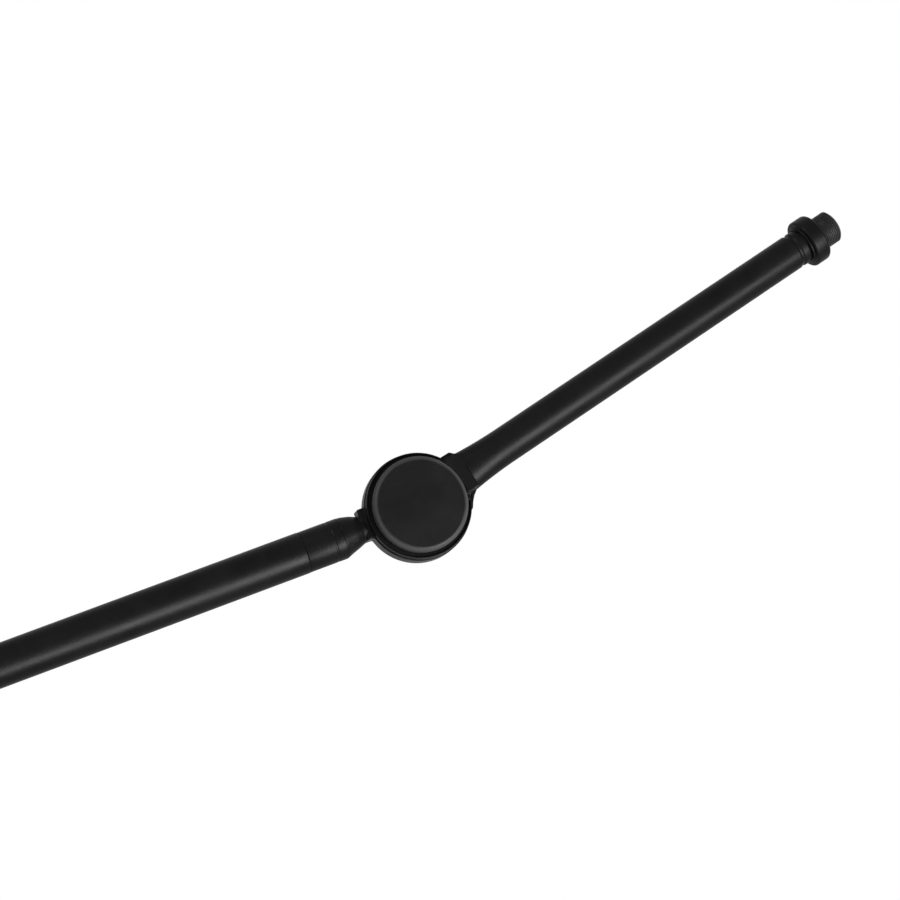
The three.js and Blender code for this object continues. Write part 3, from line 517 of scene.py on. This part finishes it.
def makeBase():
    shape = baseShape
    low, high = reach("base_casting", columnSpace)
    flat = high.y
    rim = shape["rim"]
    boss = shape["bossRadius"]
    plate = rim + shape["plateRise"]
    bore = shape["bore"]
    floor = high.x - shape["socketDepth"]
    # height, half width, how round (0 is the hexagon, 1 a circle)
    rows = [(floor, 0, 1), (floor, bore, 1), (high.x - 0.8, bore, 1), (high.x, bore + 0.9, 1),
            (high.x, boss - 10.8, 1), (high.x - 0.5, boss - 9.8, 1), (high.x - 3, boss - 8.4, 1),
            (plate + 12, boss - 4.5, 1), (plate + 6.5, boss - 0.5, 1), (plate + 3, boss + 4, 1),
            (plate + 1, boss + 10, 1), (plate, boss + 20, 1), (plate - 0.5, boss + 40, 0.8),
            (rim + 12.9, flat - 30, 0.12), (rim + 12.1, flat - 14, 0.02), (rim + 11.4, flat - 8, 0),
            (rim + 10.6, flat - 4, 0), (rim + 9.2, flat - 1.4, 0), (rim + 7.6, flat - 0.25, 0), (rim + 6.2, flat, 0),
            (rim + 2.6, flat, 0), (rim + 1, flat - 0.5, 0), (rim + 0.2, flat - 1.6, 0), (rim, flat - 3, 0),
            (rim, flat - 14, 0), (rim + 3, flat - 18, 0), (rim + 3, 70, 0.6), (rim, 64, 1), (low.x + 0.6, 60, 1),
            (low.x, 59, 1), (low.x, 0, 1)]
    made = bmesh.new()
    rings = []
    for height, size, roundness in rows:
        if size == 0:
            rings.append([made.verts.new((height, 0, 0))])
            continue
        ring = []
        for side in range(shape["around"]):
            angle = 2 * math.pi * side / shape["around"]
            edge = hexRadius(angle, size, shape["cornerRadius"] * size / flat)
            edge += (size - edge) * roundness
            ring.append(made.verts.new((height, edge * math.sin(angle), edge * math.cos(angle))))
        rings.append(ring)
    for first, second in zip(rings, rings[1:]):
        for side in range(shape["around"]):
            after = (side + 1) % shape["around"]
            corners = [first[side % len(first)], first[after % len(first)], second[after % len(second)],
                       second[side % len(second)]]
            made.faces.new(list(dict.fromkeys(corners)))
    bmesh.ops.recalc_face_normals(made, faces=made.faces)
    mesh = bpy.data.meshes.new("base")
    made.to_mesh(mesh)
    made.free()
    finishPiece("cast hexagonal base", mesh, columnSpace, ["base_casting"])


footShape = {"stud": 4, "hollow": 5, "grooveAt": 9.1, "grooveDepth": 0.7, "roundness": 1.2}


def makeFeet():
    shape = footShape
    stud = shape["stud"]
    groove = shape["grooveAt"]
    deep = shape["grooveDepth"]
    for number in range(1, 7):
        node = f"base_foot_{number}"
        low, high = reach(node, columnSpace)
        middle = (low + high) / 2
        wide = high.y - middle.y
        space = columnSpace @ Matrix.Translation((0, middle.y, middle.z))
        top = baseShape["rim"] - fit
        outline = [(0.6, 0), (0.6, shape["hollow"] - 1), (0, shape["hollow"]), (0, groove - 1.1),
                   (deep, groove - 0.5), (deep, groove + 0.5), (0, groove + 1.1), (0, wide), (top, wide),
                   (top, stud), (high.x, stud), (high.x, 0)]
        turned(f"rubber foot {number}", outline, space, [node], radius=shape["roundness"], sides=64)


makeBase()
makeFeet()
print("base made")

# Column


columnShape = {"wall": 1.5, "ringBore": 13, "stud": 8, "spigotShank": 10.9, "spigot": 8}


def makeColumn():
    shape = columnShape
    for node, label in (("lower_column", "lower column tube"), ("upper_column", "upper column tube")):
        low, high = reach(node, columnSpace)
        turned(label, sleeveOutline(low.x, high.x, high.z, high.z - shape["wall"]), columnSpace, [node], closed=True)
    for node, label in (("collar_bush", "collar bush"), ("column_guide", "column guide")):
        low, high = reach(node, columnSpace)
        ring = sleeveOutline(low.x, high.x, high.z, shape["ringBore"])
        turned(label, ring, columnSpace, [node], radius=0.3, closed=True)
    low, high = reach("column_plug", columnSpace)
    foot = reach("lower_column", columnSpace)[0].x
    plug = [(low.x, 0), (low.x, shape["stud"]), (foot, shape["stud"]), (foot, high.z), (high.x, high.z), (high.x, 0)]
    turned("column plug", plug, columnSpace, ["column_plug"])
    low, high = reach("column_spigot", columnSpace)
    under = reach("upper_column", columnSpace)[1].x + fit
    over = reach("head_casting", columnSpace)[0].x - fit
    shank = shape["spigotShank"]
    flange = [(low.x, 0), (low.x, shank), (under, shank), (under, high.z), (over, high.z), (over, shape["spigot"]),
              (high.x, shape["spigot"]), (high.x, 0)]
    turned("column spigot", flange, columnSpace, ["column_spigot"])


collarShape = {"boss": 9.5, "screwHole": 4.3, "lowerBore": 16.2, "upperBore": 13, "voxel": 0.5, "smoothing": 8}


def makeCollar():
    low, high = reach("column_collar", columnSpace)
    outer = high.z
    mouth = reach("lower_column", columnSpace)[1].x
    lower = collarShape["lowerBore"]
    upper = collarShape["upperBore"]
    shell = [(low.x, lower), (low.x, outer - 3), (low.x + 5, outer), (low.x + 14, outer), (low.x + 16, outer - 1.5),
             (high.x - 36, outer - 1.5), (high.x - 34, outer), (high.x - 4, outer), (high.x, outer - 3),
             (high.x, upper), (mouth + fit, upper), (mouth + fit, lower)]
    screwAt = joints["column_knob_turn"]["pos_m"][2] / millimetre
    boss = turnedMesh([(17, collarShape["screwHole"]), (17, collarShape["boss"]), (-low.z, collarShape["boss"]),
                       (-low.z, collarShape["screwHole"])], closed=True)
    parts = [turnedMesh(rounded(shell + shell[:1], 1.0)[:-1], closed=True), onZ(boss, x=screwAt, down=True)]
    mesh = cast(parts, collarShape["voxel"], collarShape["smoothing"])
    finishPiece("column clutch collar", mesh, columnSpace, ["column_collar"])


def makeClamp(prefix, label, space, pitch=1.25):
    low, high = reach(f"{prefix}_knob", space)
    across = high.z
    deep = high.x - low.x
    screwLow, screwHigh = reach(f"{prefix}_screw", space)
    stem = screwHigh.z
    finish = finishes["black_plastic"]
    outline = [(low.x + deep * 0.6, 0), (low.x + deep * 0.6, stem + fit), (low.x, stem + fit),
               (low.x, across * 0.45), (low.x + deep * 0.2, across * 0.5), (low.x + deep * 0.32, across * 0.88),
               (low.x + deep * 0.42, across * 0.95), (low.x + deep * 0.82, across * 0.95),
               (high.x, across * 0.8), (high.x, across * 0.6), (high.x - 0.9, across * 0.54), (high.x - 0.9, 0)]
    body = turnedMesh(rounded(outline, across * 0.1, 5), 72)
    ribs = ribRing.mesh({"Count": 22, "Ring radius": across * 0.9, "Rib radius": across * 0.1,
                         "Rib length": deep * 0.66, "Place": low.x + deep * 0.6, "Material": finish})
    finishPiece(f"{label} knob", joinMeshes([body, ribs]), space, [f"{prefix}_knob"])
    end = [(screwLow.x, 0), (screwLow.x, stem - 0.9), (screwLow.x + 0.8, stem - 0.5), (screwHigh.x, stem - 0.5),
           (screwHigh.x, 0)]
    threaded = threadMesh(screwLow.x + 0.8, screwHigh.x, stem, pitch * stem / 4, finishes["zinc_steel"])
    screw = joinMeshes([turnedMesh(rounded(end, 0.2), 48), threaded])
    finishPiece(f"{label} screw", screw, space, [f"{prefix}_screw"])
    if f"{prefix}_shoe" in frame["nodes"]:
        low, high = reach(f"{prefix}_shoe", space)
        turned(f"{label} pad", [(low.x, 0), (low.x, high.z), (high.x, high.z), (high.x, 0)], space,
               [f"{prefix}_shoe"], radius=0.3, sides=48)


def clampSpace(joint, outward, up):
    return spaceAt(joints[joint]["pos_m"], outward, up)


makeColumn()
makeCollar()
makeClamp("column", "column clamp", clampSpace("column_knob_turn", (-1, 0, 0), (0, 0, 1)))
makeClamp("swivel", "head swivel", clampSpace("swivel_knob_turn", (-1, 0, 0), (0, 0, 1)), 0.9)
makeClamp("boom", "boom clamp", clampSpace("boom_knob_turn", boomUp, boomWay))
makeClamp("counterweight", "counterweight clamp", clampSpace("counterweight_knob_turn", -boomUp, boomWay))
print("column and clamps made")

# Head

headShape = {"bolt": 5.3, "socket": 8.3, "half": 8, "boss": 7, "bossBore": 3.3, "voxel": 0.6, "smoothing": 10}


def makeHead():
    low, high = reach("head_casting", columnSpace)
    pivot = joints["boom_tilt"]["pos_m"][2] / millimetre
    post = high.y
    cheek = high.x - pivot
    socketTop = reach("column_spigot", columnSpace)[1].x + fit
    thick = headShape["half"]
    outline = [(socketTop, 0), (socketTop, headShape["socket"]), (low.x, headShape["socket"]), (low.x, post - 2),
               (low.x + 3, post), (low.x + 8, post), (low.x + 10, post - 1.2), (pivot - cheek - 16, post - 1.2),
               (pivot - cheek - 12, post), (pivot - cheek - 8, post - 3), (pivot - cheek - 2, thick),
               (pivot - 12, thick),
               (pivot - 12, 0)]
    disc = [(-thick, headShape["bolt"]), (-thick, 12), (1.5 - thick, 14), (1.5 - thick, cheek - 6),
            (-thick, cheek - 4), (1 - thick, cheek - 0.5), (2.5 - thick, cheek), (thick, cheek),
            (thick, headShape["bolt"])]
    boss = sleeveOutline(9, -low.z, headShape["boss"], headShape["bossBore"])
    screwAt = joints["swivel_knob_turn"]["pos_m"][2] / millimetre
    parts = [turnedMesh(rounded(outline, 1.0)), onY(turnedMesh(disc, closed=True), x=pivot),
             onZ(turnedMesh(boss, closed=True), x=screwAt, down=True)]
    mesh = cast(parts, headShape["voxel"], headShape["smoothing"])
    finishPiece("head casting", mesh, columnSpace, ["head_casting"])


holderShape = {"bore": 14.6, "linerBore": 13, "boss": 9.5, "bossBore": 4.3, "disc": 30, "boltHead": 8.4,
               "boltHeadThick": 5.4, "pocket": 9.3}


def makeHolder():
    shape = holderShape
    low, high = reach("boom_holder", pivotSpace)
    middle = -tiltPivot.y / millimetre
    wide = high.x - middle
    face = low.x
    bolt = headShape["bolt"]
    pocket = shape["pocket"]
    outer = shape["disc"]
    boltLow, boltHigh = reach("pivot_bolt", pivotSpace)
    linerLow, linerHigh = reach("boom_liner", boomSpace)
    half = linerHigh.x
    headAt = boltHigh.x - shape["boltHeadThick"]
    disc = [(boltHigh.x + fit, 0), (boltHigh.x + fit, pocket), (headAt - fit, pocket), (headAt - fit, bolt),
            (face, bolt), (face, outer - 1), (face + 1, outer), (face + 7, outer), (face + 10, outer - 2),
            (face + 14, outer - 8), (face + 14, 0)]
    end = [(half - 9.5, wide - 1.2), (half - 8, wide), (half - 1.5, wide), (half, wide - 1.5), (half, shape["bore"])]
    sleeve = [(-x, radius) for x, radius in reversed(end)] + end
    boss = sleeveOutline(16, high.z, shape["boss"], shape["bossBore"])
    parts = [turnedMesh(disc), onY(turnedMesh(sleeve, closed=True), x=middle),
             onZ(turnedMesh(boss, closed=True), x=middle)]
    mesh = cast(parts, headShape["voxel"], headShape["smoothing"])
    finishPiece("tilting boom holder", mesh, pivotSpace, ["boom_holder"])
    liner = sleeveOutline(linerLow.x, linerHigh.x, linerHigh.z, shape["linerBore"])
    turned("boom liner", liner, boomSpace, ["boom_liner"], radius=0.3, closed=True)
    thick = bolt - fit
    head = [(headAt, 0), (headAt, shape["boltHead"]), (boltHigh.x, shape["boltHead"]), (boltHigh.x, 0)]
    shank = [(boltLow.x, 0), (boltLow.x, thick - 0.6), (boltLow.x + 1, thick), (headAt + 1, thick), (headAt + 1, 0)]
    whole = joinMeshes([turnedMesh(rounded(head, 0.4), 96, ring=hexSection), turnedMesh(shank)])
    finishPiece("pivot bolt", whole, pivotSpace, ["pivot_bolt"])
    for node, label in (("friction_disc", "friction disc"), ("handle_washer", "handle washer")):
        discLow, discHigh = reach(node, pivotSpace)
        ring = sleeveOutline(discLow.x, discHigh.x, discHigh.z, bolt)
        turned(label, ring, pivotSpace, [node], radius=0.2, closed=True)


def hexSection(angle, x, radius):
    # pulls a turned outline in to six flats
    sixth = math.pi / 3
    return min(radius, radius * 0.895 / math.cos((angle % sixth) - sixth / 2))


handleShape = {"hub": 14, "barAt": 8.5, "voxel": 0.5, "smoothing": 10}


def makeHandle():
    low, high = reach("tilt_handle", pivotSpace)
    bottom = reach("pivot_bolt", pivotSpace)[0].x - fit
    bore = headShape["bolt"]
    knob = handleShape["hub"]
    hub = [(bottom, 0), (bottom, bore), (high.x, bore), (high.x, knob), (high.x - 6, knob), (low.x + 4, knob - 3),
           (low.x, knob - 6), (low.x, 0)]
    half = high.y
    bar = [(-half, 0), (-half + 0.6, 4), (-half + 3, 6.2), (-half + 8, 6.5), (-half + 20, 5.2), (0, 5.8),
           (half - 20, 5.2), (half - 8, 6.5), (half - 3, 6.2), (half - 0.6, 4), (half, 0)]
    parts = [turnedMesh(rounded(hub, 1.5)), onY(turnedMesh(rounded(bar, 3)), x=low.x + handleShape["barAt"])]
    mesh = cast(parts, handleShape["voxel"], handleShape["smoothing"])
    finishPiece("tilt handle", mesh, pivotSpace, ["tilt_handle"])


makeHead()
makeHolder()
makeHandle()
print("head made")

# Boom


boomShape = {"rearWall": 1.5, "frontWall": 1.2, "plug": 10.9, "lip": 1.3, "weightBore": 13}


def makeBoom():
    plug = boomShape["plug"]
    bore = boomShape["weightBore"]
    low, high = reach("rear_boom_tube", boomSpace)
    rear = sleeveOutline(low.x, high.x, high.z, high.z - boomShape["rearWall"])
    turned("rear boom tube", rear, boomSpace, ["rear_boom_tube"], closed=True)
    end = high.x
    low, high = reach("front_boom_tube", boomSpace)
    slim = high.z
    front = sleeveOutline(low.x, high.x, slim, slim - boomShape["frontWall"])
    turned("front boom tube", front, boomSpace, ["front_boom_tube"], closed=True, radius=0.5)
    low, high = reach("boom_joiner", boomSpace)
    joiner = [(low.x, slim + fit), (low.x, plug), (end + fit, plug), (end + fit, high.z), (end + 8, high.z),
              (high.x, slim + boomShape["lip"]), (high.x, slim + fit)]
    turned("boom joiner", joiner, boomSpace, ["boom_joiner"], closed=True)
    low, high = reach("rear_end_cap", boomSpace)
    cap = [(low.x, 0), (low.x, high.z, 3), (low.x + 7.7, high.z), (low.x + 7.7, plug), (high.x, plug), (high.x, 0)]
    turned("rear end cap", cap, boomSpace, ["rear_end_cap"])
    low, high = reach("counterweight", boomSpace)
    big = high.z
    drum = [(low.x + 1.5, bore), (low.x + 1.5, 24), (low.x, 26), (low.x, big - 4), (low.x + 4, big),
            (low.x + 12, big), (low.x + 13.5, big - 1.5), (low.x + 15, big), (high.x - 15, big),
            (high.x - 13.5, big - 1.5), (high.x - 12, big), (high.x - 4, big), (high.x, big - 4), (high.x, 26),
            (high.x - 1.5, 24), (high.x - 1.5, bore)]
    turned("counterweight", drum, boomSpace, ["counterweight"], closed=True, radius=0.8, sides=144)


ferruleShape = {"bore": 5.3, "shank": 8, "seam": 0.06, "grooveFromEnd": 4.5, "grooveHalf": 0.6, "grooveDepth": 0.12}


def makeFerrule():
    shape = ferruleShape
    low, high = reach("ferrule", boomSpace)
    seam = reach("front_boom_tube", boomSpace)[1].x + shape["seam"]
    groove = high.x - shape["grooveFromEnd"]
    half = shape["grooveHalf"]
    outer = high.z
    bottom = outer - shape["grooveDepth"]
    outline = [(low.x, shape["bore"]), (low.x, shape["shank"]), (seam, shape["shank"]), (seam, outer),
               (groove - half, outer), (groove - half * 0.4, bottom), (groove + half * 0.4, bottom),
               (groove + half, outer), (high.x, outer), (high.x, shape["bore"])]
    turned("ferrule", outline, boomSpace, ["ferrule"], closed=True, radius=0.1)


makeBoom()
makeFerrule()
print("boom made")

# Tip clutch: X toward the cap, Y along the boom or the mini-boom

clutchShape = {"screw": 4.3, "split": 6, "back": -6.5, "backCorner": 4.5, "nutPocket": 10, "nutFloor": -2,
               "washer": 18, "washerSeat": 4.5, "voxel": 0.3, "smoothing": 7}


def sectorMesh(inner, outline, low, high):
    # a flat block between two heights in X; its inner side follows a circle, its outer side the outline
    first = math.atan2(outline[-1][1], outline[-1][0])
    last = math.atan2(outline[0][1], outline[0][0])
    steps = 16
    arc = [(inner * math.cos(first + (last - first) * step / steps),
            inner * math.sin(first + (last - first) * step / steps)) for step in range(steps + 1)]
    made = bmesh.new()
    base = made.faces.new([made.verts.new((low, y, z)) for y, z in outline + arc])
    grown = bmesh.ops.extrude_face_region(made, geom=[base])
    for item in grown["geom"]:
        if isinstance(item, bmesh.types.BMVert):
            item.co.x = high
    bmesh.ops.recalc_face_normals(made, faces=made.faces)
    mesh = bpy.data.meshes.new("sector")
    made.to_mesh(mesh)
    made.free()
    return mesh


# the taper says how far along from the ferrule's end, and how thick
neckShape = {"pin": 5, "seam": 0.06, "taper": ((2.6, 8.75), (6.3, 7.7), (10.1, 6.2), (12.4, 5.7)), "root": -20,
             "sink": -0.9, "lift": 0.6, "liftRun": 4.0, "lugBack": -4.5, "lugFront": 5.4, "lugEnd": -26.6,
             "lugBelow": 5.4, "lugAbove": 9.2}


def makeRearHousing():
    shape = clutchShape
    screw = shape["screw"]
    back = shape["back"]
    split = shape["split"]
    low, high = reach("rear_housing", hubSpace)
    outer = high.z
    drum = [(shape["nutFloor"], screw), (shape["nutFloor"], shape["nutPocket"]), (back, shape["nutPocket"]),
            (back, outer, shape["backCorner"]), (split, outer, 0.5), (split, shape["washer"]),
            (shape["washerSeat"], shape["washer"]), (shape["washerSeat"], screw)]
    body = turnedMesh(rounded(drum + drum[:1], 0.3)[:-1], closed=True)
    shape = neckShape
    start = reach("ferrule", hubSpace)[1].y
    neck = [(low.y, 0), (low.y, shape["pin"]), (start + shape["seam"], shape["pin"]),
            (start + shape["seam"], reach("ferrule", hubSpace)[1].x)]
    neck += [(start + along, radius) for along, radius in shape["taper"]]
    neck += [(shape["root"], shape["taper"][-1][1]), (shape["root"], 0)]
    stem = turnedMesh(rounded(neck, 0.1))
    for corner in stem.vertices:
        corner.co.z += shape["lift"] * min(1.0, max(0.0, (corner.co.x - start) / shape["liftRun"]))
    sink = shape["sink"]
    lug = blockMesh((shape["lugBack"], shape["lugEnd"], sink - shape["lugBelow"]),
                    (shape["lugFront"], shape["root"], sink + shape["lugAbove"]))
    mesh = cast([body, onY(stem, z=sink), lug], clutchShape["voxel"], clutchShape["smoothing"])
    finishPiece("rear housing with neck", mesh, hubSpace, ["rear_housing"])


frontShape = {"split": 6.3, "face": 9.5, "floor": 8.6, "seat": 8.2, "seatRadius": 8.3, "plate": 23.7, "lip": 24,
              "groove": 23.2, "rise": 1.2, "halfWide": 9.5, "rim": 24.9, "lugTop": 11.8, "lugBack": -1.8, "seam": 0.05,
              "tangBack": 2, "tangFront": 8, "tangHalf": 5.5, "tangEnd": 46}


def makeFrontHousing():
    shape = frontShape
    screw = clutchShape["screw"]
    split = shape["split"]
    face = shape["face"]
    plate = [(split, screw), (split, shape["plate"], 0.5), (shape["floor"], shape["plate"]),
             (shape["floor"], shape["seatRadius"]), (shape["seat"], shape["seatRadius"]), (shape["seat"], screw)]
    lip = [(split + 0.4, 23.0), (split + 0.4, shape["lip"]), (face, shape["lip"], 0.38), (face, shape["groove"], 0.3)]
    end = reach("mini_boom_tube", hubMiniSpace)[0].y - shape["seam"]
    capRadius = reach("hub_cap", hubMiniSpace)[1].z
    below = shape["rise"] - shape["halfWide"]
    above = shape["rise"] + shape["halfWide"]
    # outlines of the lug's three layers, from its low side to its high side
    middle = [(16, below - 1.5), (21.3, below - 2.4), (22.4, below - 0.6), (24.2, below + 0.2), (end, below + 0.6),
              (end, above - 0.6), (26.6, above + 0.2), (25.2, above + 1.7), (16, above + 2)]
    front = [(22.6, below + 0.5), (end, below + 0.6), (end, above - 0.6), (22.6, above)]
    web = [(20.5, below - 6.4), (22.9, below - 3.4), (24.7, below - 1.7), (end, below + 0.3), (end, above - 0.6),
           (shape["rim"] + 0.05, above)]
    layers = [sectorMesh(shape["rim"], web, shape["lugBack"], split - 0.6), sectorMesh(14, middle, split, face),
              sectorMesh(capRadius + 0.4, front, face - 1, shape["lugTop"])]
    tang = blockMesh((shape["tangBack"], end - 2, shape["rise"] - shape["tangHalf"]),
                     (shape["tangFront"], shape["tangEnd"], shape["rise"] + shape["tangHalf"]))
    body = turnedMesh(rounded(plate + plate[:1], 0.3)[:-1], closed=True)
    mesh = cast([body, *layers, tang], clutchShape["voxel"], clutchShape["smoothing"])
    mesh = joinMeshes([mesh, turnedMesh(rounded(lip + lip[:1], 0.1)[:-1], 192, closed=True)])
    finishPiece("front housing with lug", mesh, hubMiniSpace, ["front_housing"])


capShape = {"wall": 2.2, "edge": 2.1}


def makeCap():
    low, high = reach("hub_cap", hubMiniSpace)
    roof = high.x - capShape["wall"]
    inside = high.z - capShape["wall"]
    outline = [(roof, 0), (roof, inside), (low.x, inside), (low.x, high.z, 0.3), (high.x, high.z, capShape["edge"]),
               (high.x, 0)]
    turned("hub cap", outline, hubMiniSpace, ["hub_cap"], radius=0.3, steps=10, sides=192)


insideShape = {"screw": 4, "headAt": 8.5, "nutBore": 4.2, "nutFlats": 6.45}


def nutSection(angle, x, radius):
    # cuts a turned outline down to six flats
    sixth = math.pi / 3
    return min(radius, insideShape["nutFlats"] / math.cos((angle % sixth) - sixth / 2))


def makeClutchInside():
    shape = insideShape
    thick = shape["screw"]
    for node, label in (("friction_washer", "friction washer"), ("spring_washer", "spring washer")):
        low, high = reach(node, hubSpace)
        ring = sleeveOutline(low.x, high.x, high.z, clutchShape["screw"])
        turned(label, ring, hubSpace, [node], radius=0.2, closed=True)
    low, high = reach("tip_screw", hubSpace)
    screw = [(low.x, 0), (low.x, thick - 0.6), (low.x + 0.6, thick), (shape["headAt"], thick),
             (shape["headAt"], high.z), (high.x, high.z, 1.5), (high.x, 0)]
    turned("tip screw", screw, hubSpace, ["tip_screw"], radius=0.2)
    low, high = reach("tip_nut", hubSpace)
    nut = [(low.x, shape["nutBore"]), (low.x, high.z - 1), (low.x + 0.8, high.z), (high.x - 0.8, high.z),
           (high.x, high.z - 1), (high.x, shape["nutBore"])]
    finishPiece("tip nut", turnedMesh(nut, 96, closed=True, ring=nutSection), hubSpace, ["tip_nut"])


makeRearHousing()
makeFrontHousing()
makeCap()
makeClutchInside()
print("tip clutch made")

# Mini-boom

miniShape = {"flareEnd": 50, "flareWide": 9.5, "flareDeep": 7, "wall": 1.2, "crimpFromEnd": 4.5, "crimpDepth": 0.5}


def flareSection(angle, x, radius):
    # spreads the round tube to a flat oval toward the hub
    start = reachMini[0].x
    share = max(0.0, 1 - (x - start) / (miniShape["flareEnd"] - start))
    ease = share * share
    tube = reachMini[2]
    deep = radius + (miniShape["flareDeep"] - tube) * ease
    wide = radius + (miniShape["flareWide"] - tube) * ease
    return deep * wide / math.hypot(wide * math.cos(angle), deep * math.sin(angle))


def makeMiniTube():
    end = reachMini[1].x
    start = reachMini[0].x
    tube = reachMini[2]
    crimp = end - miniShape["crimpFromEnd"]
    along = [start + (miniShape["flareEnd"] - start) * step / 12 for step in range(13)]
    bottom = tube - miniShape["crimpDepth"]
    outside = [(x, tube) for x in along]
    outside += [(crimp - 1.3, tube), (crimp - 0.5, bottom), (crimp + 0.5, bottom), (crimp + 1.3, tube),
                (end - 0.5, tube), (end, tube - 0.4)]
    inside = [(end, tube - miniShape["wall"])] + [(x, tube - miniShape["wall"]) for x in reversed(along)]
    mesh = turnedMesh(rounded(outside, 0.5) + inside, 96, closed=True, ring=flareSection)
    finishPiece("mini-boom tube", mesh, miniSpace, ["mini_boom_tube"])


threadShape = {"pitch": 0.94, "shank": 6.8}
ringShape = {"collar": 1.6, "collarLength": 0.9, "edge": 2.0}


def makeTip():
    end = reachMini[1].x
    low, high = reach("thread_insert", miniSpace)
    outer = high.z
    core = outer - threadShape["pitch"] * 0.5
    shank = threadShape["shank"]
    outline = [(low.x, 0), (low.x, shank), (end + fit, shank), (end + fit, core), (high.x - 0.9, core),
               (high.x, core - 1), (high.x, 0)]
    ridges = threadMesh(end + fit, high.x - 0.7, outer, threadShape["pitch"], finishes["thread_steel"])
    mesh = joinMeshes([turnedMesh(rounded(outline, 0.3)), ridges])
    finishPiece("threaded end", mesh, miniSpace, ["thread_insert"])
    low, high = reach("lock_ring", miniSpace)
    collar = outer + ringShape["collar"]
    shoulder = low.x + ringShape["collarLength"]
    edge = ringShape["edge"]
    ring = [(low.x, outer + fit), (low.x, collar, 0.4), (shoulder, collar, 0.4), (shoulder, high.z, edge),
            (high.x, high.z, edge), (high.x, outer + fit)]
    turned("lock ring", ring, miniSpace, ["lock_ring"], closed=True, radius=0.4, steps=8, sides=144)


miniLow, miniHigh = reach("mini_boom_tube", miniSpace)
reachMini = (miniLow, miniHigh, miniHigh.y)
makeMiniTube()
makeTip()
print("mini-boom made")

# Stage, light and camera

stageShape = {"half": 14.0, "floorDark": (0.80, 0.80, 0.80), "floorLight": (0.84, 0.84, 0.84), "surroundings": 0.9}


def makeFloor():
    mesh = bpy.data.meshes.new("floor")
    half = stageShape["half"]
    mesh.from_pydata([(-half, -half, 0), (half, -half, 0), (half, half, 0), (-half, half, 0)], [], [(0, 1, 2, 3)])
    floor = bpy.data.objects.new("floor", mesh)
    bpy.context.scene.collection.objects.link(floor)
    recipe = Recipe("pale floor")
    grain = recipe.noise(3.0, 2.0)
    colour = blendColour(recipe, grain, stageShape["floorDark"], stageShape["floorLight"])
    mesh.materials.append(recipe.shade({"Base Color": colour, "Roughness": 0.9, "Specular IOR Level": 0.1}))


def makeWorld():
    world = bpy.data.worlds.new("studio")
    bpy.context.scene.world = world
    world.use_nodes = True
    tree = world.node_tree
    tree.nodes.clear()
    path = tree.nodes.new("ShaderNodeLightPath")
    seen = Wire(tree, path.outputs["Is Camera Ray"]) + Wire(tree, path.outputs["Is Glossy Ray"])
    seen = seen + Wire(tree, path.outputs["Is Transmission Ray"])
    strength = seen.maths("MAXIMUM", seen.maths("MINIMUM", seen, 1.0), stageShape["surroundings"])
    light = tree.nodes.new("ShaderNodeBackground")
    light.inputs["Color"].default_value = (1, 1, 1, 1)
    tree.links.new(strength.socket, light.inputs["Strength"])
    out = tree.nodes.new("ShaderNodeOutputWorld")
    tree.links.new(light.outputs[0], out.inputs["Surface"])


lamps = {
    "low right": {"place": (3.4, -2.6, 0.9), "size": 1.5, "power": 18, "spreadDeg": 50},
    "under right": {"place": (2.5, -1.8, 0.35), "size": 1.2, "power": 15, "spreadDeg": 50},
    "high left": {"place": (-1.6, -2.4, 4.0), "size": 1.6, "power": 100, "spreadDeg": 180},
}


def makeLamps():
    for name, lamp in lamps.items():
        data = bpy.data.lights.new(name, "AREA")
        data.shape = "SQUARE"
        data.size = lamp["size"]
        data.energy = lamp["power"]
        data.spread = math.radians(lamp["spreadDeg"])
        light = bpy.data.objects.new(name, data)
        light.location = lamp["place"]
        aim = (hub - Vector(lamp["place"])).to_track_quat("-Z", "Y")
        light.rotation_euler = aim.to_euler()
        bpy.context.scene.collection.objects.link(light)


view = {"yawDeg": -10.4, "pitchDeg": -11.2, "distance": 1.2, "lens": 106.6, "right": 0.0154, "up": 0.0265}


def makeCamera():
    yaw = math.radians(view["yawDeg"])
    pitch = math.radians(view["pitchDeg"])
    back = Vector((math.sin(yaw) * math.cos(pitch), -math.cos(yaw) * math.cos(pitch), math.sin(pitch)))
    right = Vector((0, 0, 1)).cross(back).normalized()
    up = back.cross(right)
    data = bpy.data.cameras.new("camera")
    data.lens = view["lens"]
    data.sensor_width = 36
    data.clip_end = 100
    camera = bpy.data.objects.new("camera", data)
    camera.matrix_world = Matrix((right, up, back)).transposed().to_4x4()
    camera.location = hub + back * view["distance"] + right * view["right"] + up * view["up"]
    bpy.context.scene.collection.objects.link(camera)
    bpy.context.scene.camera = camera


makeFloor()
makeWorld()
makeLamps()
makeCamera()
bpy.context.scene.view_settings.view_transform = "Standard"
print("stage ready")
